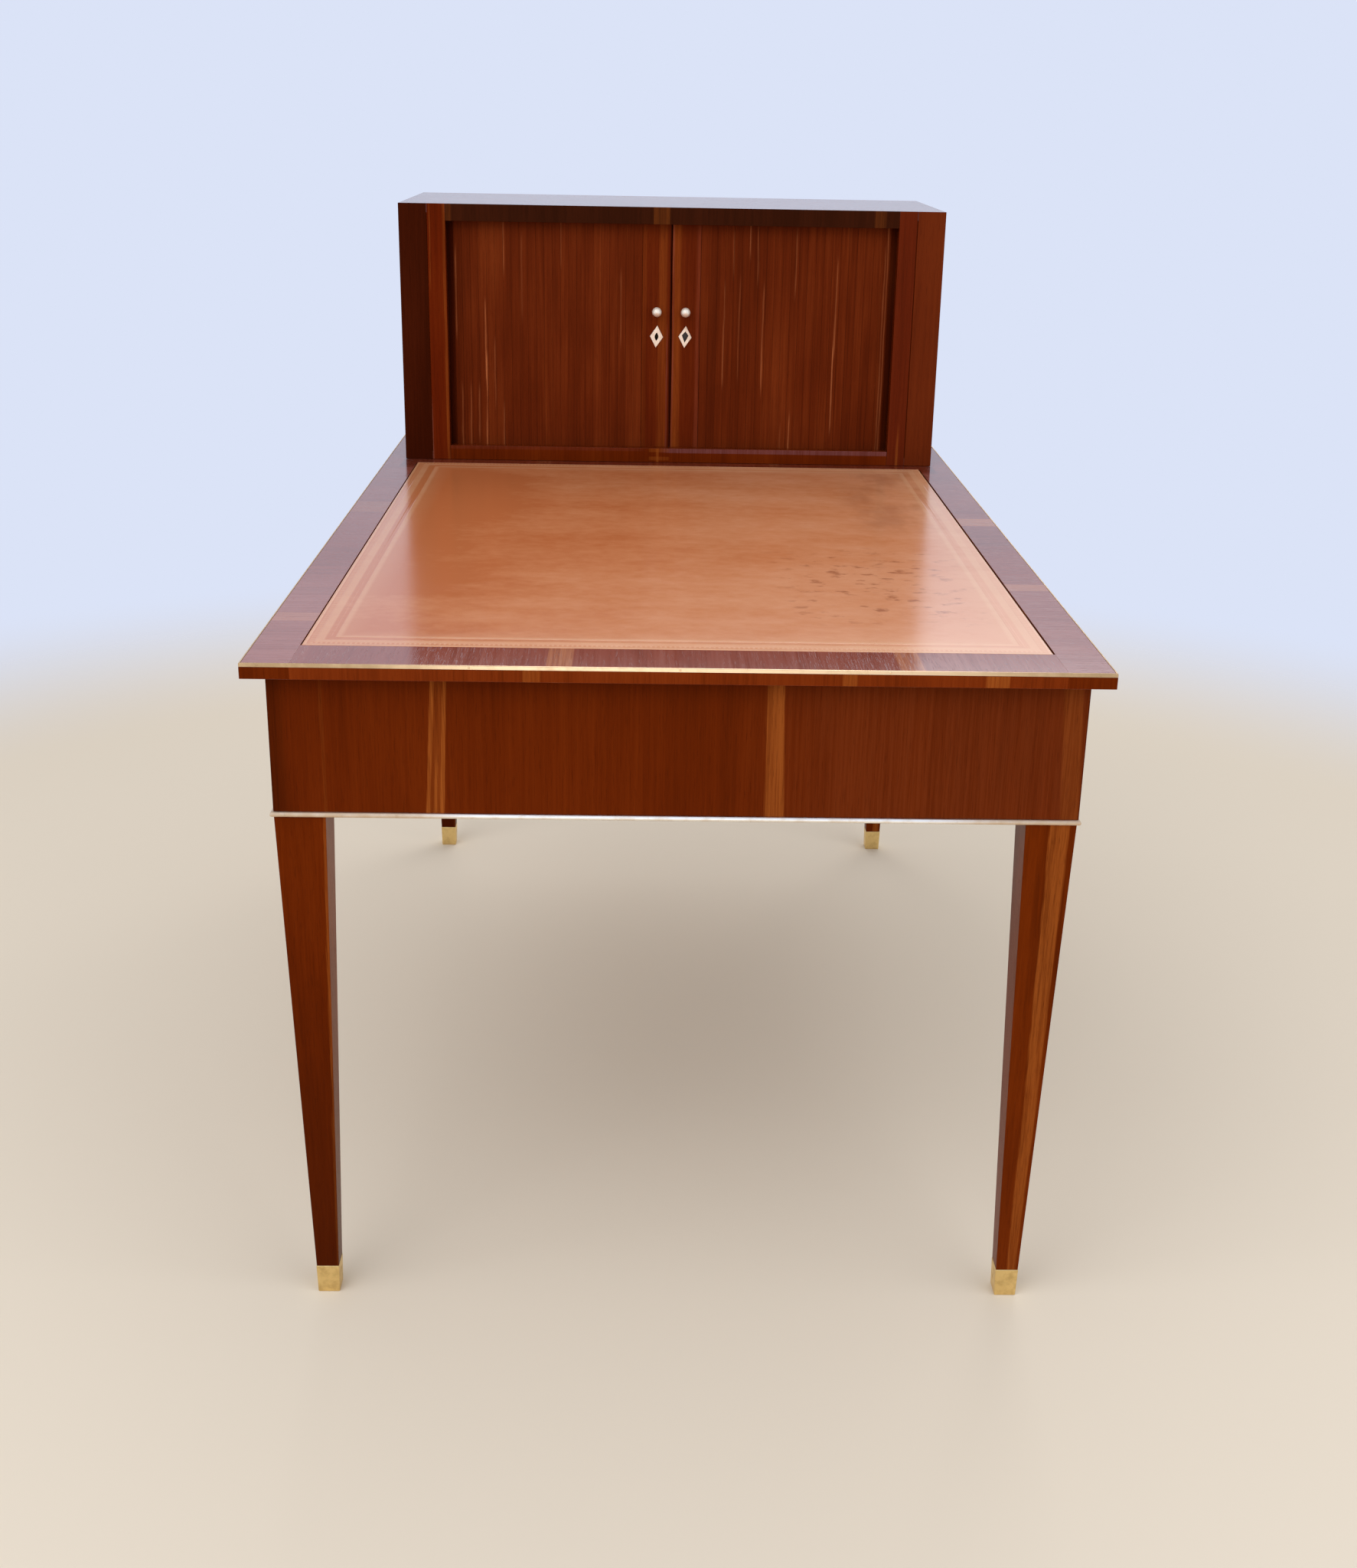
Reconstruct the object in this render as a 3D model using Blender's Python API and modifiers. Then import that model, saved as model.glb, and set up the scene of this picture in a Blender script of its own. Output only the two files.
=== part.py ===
"""Writing desk with a file cabinet: a flat-topped desk on four tapered legs, with a leather writing surface,
three frieze drawers along one long side and a low cabinet with two tambour doors standing on the far end.

Metres, +Z up. X runs across the desk, Y along it from the near end to the cabinet end, and the origin is on
the floor under the middle of the top.
"""
import math

import bmesh
import bpy
from mathutils import Matrix, Vector

# Fits shared by every joint
FIT = 0.0003
HOLE_FACETS = 16
ARRIS = 0.0006
CUT_PAST = 0.020

# Desk top
TOP_LENGTH = 1.500
TOP_WIDTH = 0.900
TOP_HEIGHT = 0.783
TOP_THICKNESS = 0.017
BORDER_SIDE = 0.051
BORDER_NEAR = 0.069
WRITING_LENGTH = 1.050
LEATHER_THICKNESS = 0.002
EDGE_STRIP_HEIGHT = 0.004
EDGE_STRIP_WIDTH = 0.003

# Frieze, legs and feet
OVERHANG = 0.022
FRIEZE_HEIGHT = 0.1582
APRON_THICKNESS = 0.022
TENON_LENGTH = 0.018
TENON_THICKNESS = 0.009
TENON_SHOULDER = 0.020
LEG_WIDTH = 0.055
LEG_FOOT_WIDTH = 0.026
LEG_SPIGOT_STEP = 0.0016
SABOT_HEIGHT = 0.036
SABOT_FLOOR = 0.002
SABOT_PROUD = 0.0005
BEAD_HEIGHT = 0.006
BEAD_PROUD = 0.0035

# Drawers in the left side of the frieze
DRAWER_COUNT = 3
DRAWER_POST = 0.030
RAIL_UPPER = 0.018
RAIL_LOWER = 0.022
RAIL_DEPTH = 0.045
RAIL_TENON = 0.010
BEARER_HEIGHT = 0.020
BEARER_LEDGE = 0.016
GUIDE_HEIGHT = 0.028
GUIDE_WIDTH = 0.018
DRAWER_DEPTH = 0.480
DRAWER_GAP = 0.001
DRAWER_FRONT = 0.018
DRAWER_SIDE = 0.010
DRAWER_HEADROOM = 0.006
DRAWER_BOTTOM = 0.006
DRAWER_BOTTOM_UP = 0.010
DRAWER_GROOVE = 0.005

# File cabinet
CABINET_WIDTH = 0.840
CABINET_DEPTH = 0.340
CABINET_HEIGHT = 0.3905
CABINET_SET_BACK = 0.0115
BOARD_BOTTOM = 0.012
BOARD_TOP = 0.014
CABINET_SIDE = 0.012
CABINET_BACK = 0.010
STILE_WIDTH = 0.071
STILE_BAND = 0.043
STILE_NOTCH = 0.0012
FRAME_THICKNESS = 0.018
RAIL_TOP = 0.011
SILL = 0.0095
SHELF_THICKNESS = 0.010
SHELF_HOUSING = 0.004
SHELF_SET_BACK = 0.006
LINING_THICKNESS = 0.008

# Tambour doors
SLAT_PITCH = 0.0129
SLAT_THICKNESS = 0.008
SLAT_GROOVE = 0.003
SLAT_GROOVE_WIDTH = 0.0016
SLAT_CROWN = 0.0008
TRACK_DEPTH = 0.004
TRACK_CLEARANCE = 0.0008
TRACK_MARGIN = 0.003
TRACK_RADIUS = 0.035
TRACK_ARC_STEPS = 8
MEETING_GAP = 0.0008
LEAD_STILE_WIDTH = 0.045
HARDWARE_INSET = 0.0225
KNOB_HEIGHT = 0.2332
ESCUTCHEON_HEIGHT = 0.1946
ESCUTCHEON_WIDTH = 0.0208
ESCUTCHEON_TALL = 0.0345
ESCUTCHEON_THICKNESS = 0.0012
KEYHOLE_RADIUS = 0.0022
KEYHOLE_SLOT = 0.0065
LOCK_WIDTH = 0.034
LOCK_TALL = 0.052
LOCK_THICKNESS = 0.009

# Turned brass knobs
KNOB_RADIUS = 0.0075
KNOB_NECK = 0.0035
KNOB_COLLAR = 0.0055
KNOB_COLLAR_HEIGHT = 0.0012
KNOB_STAND = 0.0110
KNOB_SHANK = 0.0025
KNOB_SHANK_LENGTH = 0.0060
KNOB_STEPS = 16
KNOB_ARC_STEPS = 7

# Places worked out from the sizes above
HALF_LENGTH = TOP_LENGTH / 2
HALF_WIDTH = TOP_WIDTH / 2
TOP_UNDERSIDE = TOP_HEIGHT - TOP_THICKNESS
FRIEZE_TOP = TOP_UNDERSIDE - FIT
FRIEZE_BOTTOM = FRIEZE_TOP - FRIEZE_HEIGHT
FRIEZE_X = HALF_WIDTH - OVERHANG
FRIEZE_Y = HALF_LENGTH - OVERHANG
LEG_IN_X = FRIEZE_X - LEG_WIDTH
LEG_IN_Y = FRIEZE_Y - LEG_WIDTH
LEATHER_NEAR = -HALF_LENGTH + BORDER_NEAR
LEATHER_FAR = LEATHER_NEAR + WRITING_LENGTH
DRAWER_FLOOR = FRIEZE_BOTTOM + RAIL_LOWER
DRAWER_CEILING = FRIEZE_TOP - RAIL_UPPER
DRAWER_OPENING = (2 * LEG_IN_Y - (DRAWER_COUNT - 1) * DRAWER_POST) / DRAWER_COUNT
CABINET_X = CABINET_WIDTH / 2
CABINET_REAR = HALF_LENGTH - CABINET_SET_BACK
CABINET_FRONT = CABINET_REAR - CABINET_DEPTH
CABINET_FLOOR = TOP_HEIGHT + FIT + BOARD_BOTTOM
CABINET_TOP = TOP_HEIGHT + FIT + CABINET_HEIGHT
CABINET_CEILING = CABINET_TOP - BOARD_TOP
OPENING_X = CABINET_X - STILE_WIDTH
FRAME_BACK = CABINET_FRONT + FRAME_THICKNESS
TRACK_WIDTH = SLAT_THICKNESS + 2 * TRACK_CLEARANCE
TRACK_Y = FRAME_BACK + TRACK_MARGIN + TRACK_WIDTH / 2
TRACK_X = CABINET_X - CABINET_SIDE - TRACK_MARGIN - TRACK_WIDTH / 2
TAMBOUR_FRONT = TRACK_Y - SLAT_THICKNESS / 2
TAMBOUR_BACK = TRACK_Y + SLAT_THICKNESS / 2
TAMBOUR_LOW = CABINET_FLOOR - TRACK_DEPTH + FIT
TAMBOUR_HIGH = CABINET_CEILING + TRACK_DEPTH - FIT
LINING_X = TRACK_X - TRACK_WIDTH / 2 - TRACK_MARGIN
LINING_FRONT = TRACK_Y + TRACK_RADIUS
CABINET_BACK_FRONT = CABINET_REAR - CABINET_BACK
SHELF_LOW = (CABINET_FLOOR + CABINET_CEILING - SHELF_THICKNESS) / 2

# Plain finishes: colour, roughness, metallic
MAHOGANY = ((0.115, 0.020, 0.006, 1.0), 0.22, 0.0)
DARK_MAHOGANY = ((0.045, 0.008, 0.003, 1.0), 0.22, 0.0)
OAK = ((0.36, 0.22, 0.11, 1.0), 0.60, 0.0)
LEATHER = ((0.43, 0.16, 0.055, 1.0), 0.42, 0.0)
BRASS = ((0.60, 0.42, 0.15, 1.0), 0.25, 1.0)
STEEL = ((0.30, 0.29, 0.27, 1.0), 0.45, 1.0)

OBJECT_NAME = "writing_desk_with_file_cabinet"
SIDES = {"left": -1, "right": 1}
ENDS = {"near": -1, "far": 1}
TURN_TO_NEAR = (math.pi / 2, 0.0, 0.0)
TURN_TO_LEFT = (0.0, -math.pi / 2, 0.0)
TURN_ACROSS = (math.pi / 2, 0.0, math.pi / 2)


def clear_scene():
    """Removes every object that the file starts with."""
    for old in list(bpy.data.objects):
        bpy.data.objects.remove(old, do_unlink=True)


def new_collection(name):
    """Adds a collection to the scene."""
    collection = bpy.data.collections.new(name)
    bpy.context.scene.collection.children.link(collection)
    return collection


clear_scene()
PARTS = new_collection(OBJECT_NAME)
CUTTERS = new_collection("cutters")


def dress(part, finish):
    """Gives a part its own material."""
    colour, roughness, metallic = finish
    material = bpy.data.materials.new(part.name + "_finish")
    material.use_nodes = True
    shader = material.node_tree.nodes["Principled BSDF"]
    shader.inputs["Base Color"].default_value = colour
    shader.inputs["Roughness"].default_value = roughness
    shader.inputs["Metallic"].default_value = metallic
    part.data.materials.append(material)


def place(name, mesh, location, finish, rotation=(0.0, 0.0, 0.0), parent=None):
    """Makes a named part from a mesh, at a place in the world or under a pivot that isn't turned."""
    part = bpy.data.objects.new(name, mesh)
    PARTS.objects.link(part)
    part.parent = parent
    part.location = Vector(location) - (parent.location if parent else Vector())
    part.rotation_euler = rotation
    dress(part, finish)
    return part


def add_pivot(name, location):
    """Adds an empty on a joint's axis, to carry the pieces that move together."""
    pivot = bpy.data.objects.new(name, None)
    PARTS.objects.link(pivot)
    pivot.location = location
    return pivot


def add_cutter(name, mesh, location, rotation=(0.0, 0.0, 0.0)):
    """Adds a hidden shape that cuts or joins a part."""
    cutter = bpy.data.objects.new(name, mesh)
    CUTTERS.objects.link(cutter)
    cutter.location = location
    cutter.rotation_euler = rotation
    cutter.hide_render = True
    cutter.display_type = "WIRE"
    return cutter


def box_mesh(name, low, high):
    """Makes a box mesh about its own middle, and gives it with that middle."""
    low, high = Vector(low), Vector(high)
    mesh = bpy.data.meshes.new(name)
    shape = bmesh.new()
    bmesh.ops.create_cube(shape, size=1.0, matrix=Matrix.Diagonal((*(high - low), 1.0)))
    shape.to_mesh(mesh)
    shape.free()
    return mesh, (low + high) / 2


def add_box(name, low, high, finish, parent=None):
    """Adds a board or block with its arrises taken off."""
    mesh, middle = box_mesh(name, low, high)
    part = place(name, mesh, middle, finish, parent=parent)
    soften(part, ARRIS)
    return part


def cutter_box(name, low, high):
    """Adds a box that cuts or joins a part."""
    return add_cutter(name, *box_mesh(name, low, high))


def soften(part, width):
    """Takes the sharp edges off a part."""
    bevel = part.modifiers.new("arris", "BEVEL")
    bevel.width = width
    bevel.segments = 1
    bevel.limit_method = "ANGLE"


def combine(part, other, operation):
    """Cuts another shape out of a part, or joins it on."""
    boolean = part.modifiers.new(operation.lower(), "BOOLEAN")
    boolean.operation = operation
    boolean.solver = "EXACT"
    boolean.object = other


def prism_mesh(name, sections):
    """Makes a square prism through sections of (height, width), from the bottom up."""
    shape = bmesh.new()
    (low, low_width), (high, high_width) = sections[:2]
    bmesh.ops.create_cube(shape, size=1.0)
    for corner in shape.verts:
        upper = corner.co.z > 0
        width = high_width if upper else low_width
        corner.co.x *= width
        corner.co.y *= width
        corner.co.z = high if upper else low
    cap = max(shape.faces, key=lambda face: face.calc_center_median().z)
    for height, width in sections[2:]:
        made = bmesh.ops.extrude_face_region(shape, geom=[cap])
        bmesh.ops.delete(shape, geom=[cap], context="FACES_ONLY")
        corners = [item for item in made["geom"] if isinstance(item, bmesh.types.BMVert)]
        for corner in corners:
            corner.co.x = math.copysign(width / 2, corner.co.x)
            corner.co.y = math.copysign(width / 2, corner.co.y)
            corner.co.z = height
        cap = next(item for item in made["geom"] if isinstance(item, bmesh.types.BMFace))
    mesh = bpy.data.meshes.new(name)
    shape.to_mesh(mesh)
    shape.free()
    return mesh


def outline_mesh(name, loops, thickness):
    """Makes a plate of a given thickness from a flat outline and any holes in it."""
    flat = bpy.data.curves.new(name, "CURVE")
    flat.dimensions = "2D"
    flat.fill_mode = "BOTH"
    flat.extrude = thickness / 2
    for loop in loops:
        spline = flat.splines.new("POLY")
        spline.points.add(len(loop) - 1)
        for point, (x, y) in zip(spline.points, loop):
            point.co = (x, y, 0.0, 1.0)
        spline.use_cyclic_u = True
    guide = bpy.data.objects.new(name + "_outline", flat)
    CUTTERS.objects.link(guide)
    bpy.context.view_layer.update()
    mesh = bpy.data.meshes.new_from_object(guide.evaluated_get(bpy.context.evaluated_depsgraph_get()))
    bpy.data.objects.remove(guide)
    shape = bmesh.new()
    shape.from_mesh(mesh)
    bmesh.ops.remove_doubles(shape, verts=shape.verts, dist=1e-6)
    bmesh.ops.recalc_face_normals(shape, faces=shape.faces)
    shape.to_mesh(mesh)
    shape.free()
    return mesh


def hole_cutter(name, radius, length, location, rotation):
    """Adds a round cutter, centred on a place, with its length along its own Z."""
    mesh = bpy.data.meshes.new(name)
    shape = bmesh.new()
    bmesh.ops.create_cone(
        shape, cap_ends=True, segments=HOLE_FACETS, radius1=radius, radius2=radius, depth=length)
    shape.to_mesh(mesh)
    shape.free()
    return add_cutter(name, mesh, location, rotation)


def add_knob(name, location, rotation, parent):
    """Adds a turned brass knob that stands on a face, with its shank in a hole behind that face."""
    ball = KNOB_STAND + KNOB_RADIUS
    last = math.asin(KNOB_NECK / KNOB_RADIUS)
    profile = []
    for step in range(KNOB_ARC_STEPS + 1):
        angle = (math.pi - last) * step / KNOB_ARC_STEPS
        profile.append((KNOB_RADIUS * math.sin(angle), ball - KNOB_RADIUS + KNOB_RADIUS * math.cos(angle)))
    profile[0] = (0.0, ball)
    seat = FIT
    profile += [(KNOB_NECK, seat + KNOB_COLLAR_HEIGHT), (KNOB_COLLAR, seat + KNOB_COLLAR_HEIGHT),
                (KNOB_COLLAR, seat), (KNOB_SHANK, seat), (KNOB_SHANK, -KNOB_SHANK_LENGTH),
                (0.0, -KNOB_SHANK_LENGTH)]
    mesh = bpy.data.meshes.new(name)
    points = [(radius, 0.0, height) for radius, height in profile]
    mesh.from_pydata(points, [(i, i + 1) for i in range(len(points) - 1)], [])
    knob = place(name, mesh, location, BRASS, rotation, parent)
    turn = knob.modifiers.new("turn", "SCREW")
    turn.axis = "Z"
    turn.steps = KNOB_STEPS
    turn.render_steps = KNOB_STEPS
    turn.use_merge_vertices = True
    turn.merge_threshold = 1e-5
    turn.use_smooth_shade = True
    return knob


def bore_for_knob(part, location, rotation):
    """Bores the hole that a knob's shank goes into."""
    combine(part, hole_cutter(part.name + "_bore", KNOB_SHANK + FIT, 2 * (KNOB_SHANK_LENGTH + FIT),
                              location, rotation), "DIFFERENCE")


def ring_mesh(name, outer, inner, height):
    """Makes a flat rectangular ring from its outer and inner half sizes."""
    loops = []
    for half_x, half_y in (outer, inner):
        loops.append([(-half_x, -half_y), (half_x, -half_y), (half_x, half_y), (-half_x, half_y)])
    return outline_mesh(name, loops, height)


# Desk top: four border boards round a panel, leather on the panel and a brass strip let into the upper edge

def build_top():
    """Builds the framed top."""
    inner_x = HALF_WIDTH - BORDER_SIDE
    strip_low = TOP_HEIGHT - EDGE_STRIP_HEIGHT
    strip_inner = (HALF_WIDTH - EDGE_STRIP_WIDTH, HALF_LENGTH - EDGE_STRIP_WIDTH)
    strip = ring_mesh("top_brass_edge", (HALF_WIDTH, HALF_LENGTH), strip_inner, EDGE_STRIP_HEIGHT)
    place("top_brass_edge", strip, (0.0, 0.0, TOP_HEIGHT - EDGE_STRIP_HEIGHT / 2), BRASS)

    rebate_height = 2 * (EDGE_STRIP_HEIGHT + FIT)
    rebate = add_cutter(
        "edge_rebate",
        ring_mesh("edge_rebate", (HALF_WIDTH + CUT_PAST, HALF_LENGTH + CUT_PAST),
                  (strip_inner[0] - FIT, strip_inner[1] - FIT), rebate_height),
        (0.0, 0.0, strip_low - FIT + rebate_height / 2))
    spans = {
        "top_border_left": ((-HALF_WIDTH, -HALF_LENGTH), (-inner_x, HALF_LENGTH)),
        "top_border_right": ((inner_x, -HALF_LENGTH), (HALF_WIDTH, HALF_LENGTH)),
        "top_border_near": ((-inner_x + FIT, -HALF_LENGTH), (inner_x - FIT, LEATHER_NEAR)),
        "top_border_far": ((-inner_x + FIT, LEATHER_FAR), (inner_x - FIT, HALF_LENGTH)),
    }
    for name, (low, high) in spans.items():
        board = add_box(name, (*low, TOP_UNDERSIDE), (*high, TOP_HEIGHT), MAHOGANY)
        combine(board, rebate, "DIFFERENCE")

    panel_x = inner_x - FIT
    panel_near = LEATHER_NEAR + FIT
    panel_far = LEATHER_FAR - FIT
    leather_low = TOP_HEIGHT - LEATHER_THICKNESS
    add_box("top_panel", (-panel_x, panel_near, TOP_UNDERSIDE), (panel_x, panel_far, leather_low - FIT), OAK)
    add_box("leather_top", (-panel_x, panel_near, leather_low), (panel_x, panel_far, TOP_HEIGHT), LEATHER)


# Legs: square posts in the frieze that taper on all four faces down to brass feet

def leg_middle(side, end):
    """Gives a leg's middle in X and Y."""
    return Vector((side * (FRIEZE_X - LEG_WIDTH / 2), end * (FRIEZE_Y - LEG_WIDTH / 2), 0.0))


def leg_width_at(height):
    """Gives the width of the tapered part of a leg at a height."""
    share = (height - SABOT_HEIGHT) / (FRIEZE_BOTTOM - SABOT_HEIGHT)
    return LEG_FOOT_WIDTH + (LEG_WIDTH - LEG_FOOT_WIDTH) * share


def build_legs():
    """Builds the legs with their brass feet, and gives the legs by side and end."""
    shoulder = SABOT_HEIGHT + FIT
    spigot_low = SABOT_FLOOR + FIT
    spigot_top_width = leg_width_at(shoulder) - 2 * LEG_SPIGOT_STEP
    spigot_low_width = leg_width_at(spigot_low) - 2 * LEG_SPIGOT_STEP
    outer = [(0.0, leg_width_at(0.0) + 2 * SABOT_PROUD), (SABOT_HEIGHT, LEG_FOOT_WIDTH + 2 * SABOT_PROUD)]
    pocket = [(SABOT_FLOOR, spigot_low_width + 2 * FIT),
              (shoulder + SABOT_FLOOR, spigot_top_width + 2 * FIT)]
    legs = {}
    for side_name, side in SIDES.items():
        for end_name, end in ENDS.items():
            ending = end_name + "_" + side_name
            middle = leg_middle(side, end)
            sections = [(spigot_low, spigot_low_width), (shoulder, spigot_top_width),
                        (shoulder, leg_width_at(shoulder)), (FRIEZE_BOTTOM, LEG_WIDTH),
                        (FRIEZE_TOP, LEG_WIDTH)]
            leg = place("leg_" + ending, prism_mesh("leg_" + ending, sections), middle, MAHOGANY)
            legs[side_name, end_name] = leg
            sabot = place("sabot_" + ending, prism_mesh("sabot_" + ending, outer), middle, BRASS)
            hollow = add_cutter("sabot_hollow_" + ending, prism_mesh("sabot_hollow", pocket), middle)
            combine(sabot, hollow, "DIFFERENCE")
    return legs


# Frieze: three aprons and a pair of drawer rails, tenoned into the legs

def tenon_bar(name, low, high, axis, thickness, shoulder, slack):
    """Adds the bar whose two ends are a board's tenons, or the mortises for them when given slack."""
    low, high = Vector(low), Vector(high)
    middle = (low + high) / 2
    across = 1 - axis
    low[axis] -= TENON_LENGTH + slack
    high[axis] += TENON_LENGTH + slack
    low[across] = middle[across] - thickness / 2 - slack
    high[across] = middle[across] + thickness / 2 + slack
    low.z += shoulder - slack
    high.z -= shoulder - slack
    return cutter_box(name, low, high)


def add_tenoned(name, low, high, axis, thickness, shoulder, legs):
    """Adds a board between two legs, with tenons in mortises in them."""
    board = add_box(name, low, high, MAHOGANY)
    combine(board, tenon_bar(name + "_tenons", low, high, axis, thickness, shoulder, 0.0), "UNION")
    mortises = tenon_bar(name + "_mortises", low, high, axis, thickness, shoulder, FIT)
    for leg in legs:
        combine(leg, mortises, "DIFFERENCE")
    return board


def build_frieze(legs):
    """Builds the aprons, the drawer rails and posts, and the brass bead round the bottom."""
    leg_gap_x = LEG_IN_X - FIT
    leg_gap_y = LEG_IN_Y - FIT
    for end_name, end in ENDS.items():
        faces = sorted((end * FRIEZE_Y, end * (FRIEZE_Y - APRON_THICKNESS)))
        add_tenoned("apron_" + end_name, (-leg_gap_x, faces[0], FRIEZE_BOTTOM),
                    (leg_gap_x, faces[1], FRIEZE_TOP), 0, TENON_THICKNESS, TENON_SHOULDER,
                    [legs["left", end_name], legs["right", end_name]])
    right_legs = [legs["right", "near"], legs["right", "far"]]
    add_tenoned("apron_right", (FRIEZE_X - APRON_THICKNESS, -leg_gap_y, FRIEZE_BOTTOM),
                (FRIEZE_X, leg_gap_y, FRIEZE_TOP), 1, TENON_THICKNESS, TENON_SHOULDER, right_legs)

    left_legs = [legs["left", "near"], legs["left", "far"]]
    rails = {"drawer_rail_upper": (DRAWER_CEILING, FRIEZE_TOP),
             "drawer_rail_lower": (FRIEZE_BOTTOM, DRAWER_FLOOR)}
    for name, (low, high) in rails.items():
        shoulder = (high - low - RAIL_TENON) / 2
        add_tenoned(name, (-FRIEZE_X, -leg_gap_y, low), (-FRIEZE_X + RAIL_DEPTH, leg_gap_y, high), 1,
                    TENON_THICKNESS, shoulder, left_legs)
    for number in range(1, DRAWER_COUNT):
        low_y = -LEG_IN_Y + number * DRAWER_OPENING + (number - 1) * DRAWER_POST
        add_box("drawer_post_%d" % number, (-FRIEZE_X, low_y, DRAWER_FLOOR + FIT),
                (-FRIEZE_X + APRON_THICKNESS, low_y + DRAWER_POST, DRAWER_CEILING - FIT), MAHOGANY)

    bead = ring_mesh("frieze_bead", (FRIEZE_X + BEAD_PROUD, FRIEZE_Y + BEAD_PROUD),
                     (FRIEZE_X + FIT, FRIEZE_Y + FIT), BEAD_HEIGHT)
    place("frieze_bead", bead, (0.0, 0.0, FRIEZE_BOTTOM + BEAD_HEIGHT / 2), BRASS)


def build_bearers():
    """Builds the bearers that carry the drawers, each with the guide that stands between two drawers."""
    bottom = DRAWER_FLOOR - BEARER_HEIGHT
    guide_top = DRAWER_FLOOR + GUIDE_HEIGHT
    pitch = DRAWER_OPENING + DRAWER_POST
    for number in range(DRAWER_COUNT + 1):
        first, last = number == 0, number == DRAWER_COUNT
        guide_high = -LEG_IN_Y + number * pitch
        guide_low = guide_high - DRAWER_POST
        if first:
            guide_low = guide_high - GUIDE_WIDTH
        if last:
            guide_high = guide_low + GUIDE_WIDTH
        ledge_low = guide_low if first else guide_low - BEARER_LEDGE
        ledge_high = guide_high if last else guide_high + BEARER_LEDGE
        section = [(ledge_low, bottom), (ledge_high, bottom)]
        if not last:
            section.append((ledge_high, DRAWER_FLOOR))
            section.append((guide_high, DRAWER_FLOOR))
        section.append((guide_high, guide_top))
        section.append((guide_low, guide_top))
        if not first:
            section.append((guide_low, DRAWER_FLOOR))
            section.append((ledge_low, DRAWER_FLOOR))
        at_leg = first or last
        start = -(LEG_IN_X - FIT) if at_leg else -FRIEZE_X + RAIL_DEPTH + FIT
        finish = LEG_IN_X - FIT if at_leg else FRIEZE_X - APRON_THICKNESS - FIT
        name = "drawer_bearer_%d" % (number + 1)
        place(name, outline_mesh(name, [section], finish - start), ((start + finish) / 2, 0.0, 0.0), OAK,
              TURN_ACROSS)


# Drawers: a front, a box of two sides and a back, a bottom held in grooves, and a knob

def build_drawer(number):
    """Builds one drawer, closed, under a pivot on its slide."""
    name = "drawer_%d_" % number
    low_y = -LEG_IN_Y + (number - 1) * (DRAWER_OPENING + DRAWER_POST) + DRAWER_GAP
    high_y = low_y + DRAWER_OPENING - 2 * DRAWER_GAP
    middle_y = (low_y + high_y) / 2
    low_z = DRAWER_FLOOR + FIT
    front_high = DRAWER_CEILING - DRAWER_GAP
    box_high = DRAWER_CEILING - DRAWER_HEADROOM
    front_back = -FRIEZE_X + DRAWER_FRONT
    box_start = front_back + FIT
    box_end = front_back + DRAWER_DEPTH
    pivot = add_pivot(name + "slide", (-FRIEZE_X, middle_y, (low_z + front_high) / 2))

    front = add_box(name + "front", (-FRIEZE_X, low_y, low_z), (front_back, high_y, front_high), MAHOGANY, pivot)
    box = add_box(name + "box", (box_start, low_y, low_z), (box_end, high_y, box_high), OAK, pivot)
    inside = cutter_box(
        name + "inside", (box_start - CUT_PAST, low_y + DRAWER_SIDE, low_z - CUT_PAST),
        (box_end - DRAWER_SIDE, high_y - DRAWER_SIDE, box_high + CUT_PAST))
    combine(box, inside, "DIFFERENCE")

    bottom_low = Vector((front_back - DRAWER_GROOVE, low_y + DRAWER_SIDE - DRAWER_GROOVE, low_z + DRAWER_BOTTOM_UP))
    bottom_high = Vector((box_end - DRAWER_SIDE + DRAWER_GROOVE, high_y - DRAWER_SIDE + DRAWER_GROOVE,
                          low_z + DRAWER_BOTTOM_UP + DRAWER_BOTTOM))
    slack = Vector((FIT, FIT, FIT))
    add_box(name + "bottom", bottom_low, bottom_high, OAK, pivot)
    groove = cutter_box(name + "groove", bottom_low - slack, bottom_high + slack)
    combine(front, groove, "DIFFERENCE")
    combine(box, groove, "DIFFERENCE")

    knob_place = (-FRIEZE_X, middle_y, (low_z + front_high) / 2)
    add_knob(name + "knob", knob_place, TURN_TO_LEFT, pivot)
    bore_for_knob(front, knob_place, TURN_TO_LEFT)


# File cabinet: two boards joined by sides and a back, with a face frame and a housed shelf

def track_outline():
    """Gives the plan of the tambour track: across the front, round both corners and back along the sides."""
    end_y = CABINET_BACK_FRONT
    centre_y = TRACK_Y + TRACK_RADIUS
    centre_x = TRACK_X - TRACK_RADIUS
    half = TRACK_WIDTH / 2

    def run(radius):
        """Gives the left half of one edge of the track, from the back to the middle of the front."""
        edge = [(-centre_x - radius, end_y)]
        for step in range(TRACK_ARC_STEPS + 1):
            angle = math.pi / 2 * step / TRACK_ARC_STEPS
            edge.append((-centre_x - radius * math.cos(angle), centre_y - radius * math.sin(angle)))
        return edge

    outer = run(TRACK_RADIUS + half)
    inner = run(TRACK_RADIUS - half)
    outer += [(-x, y) for x, y in reversed(outer)]
    inner += [(-x, y) for x, y in reversed(inner)]
    return outer + inner[::-1]


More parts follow.
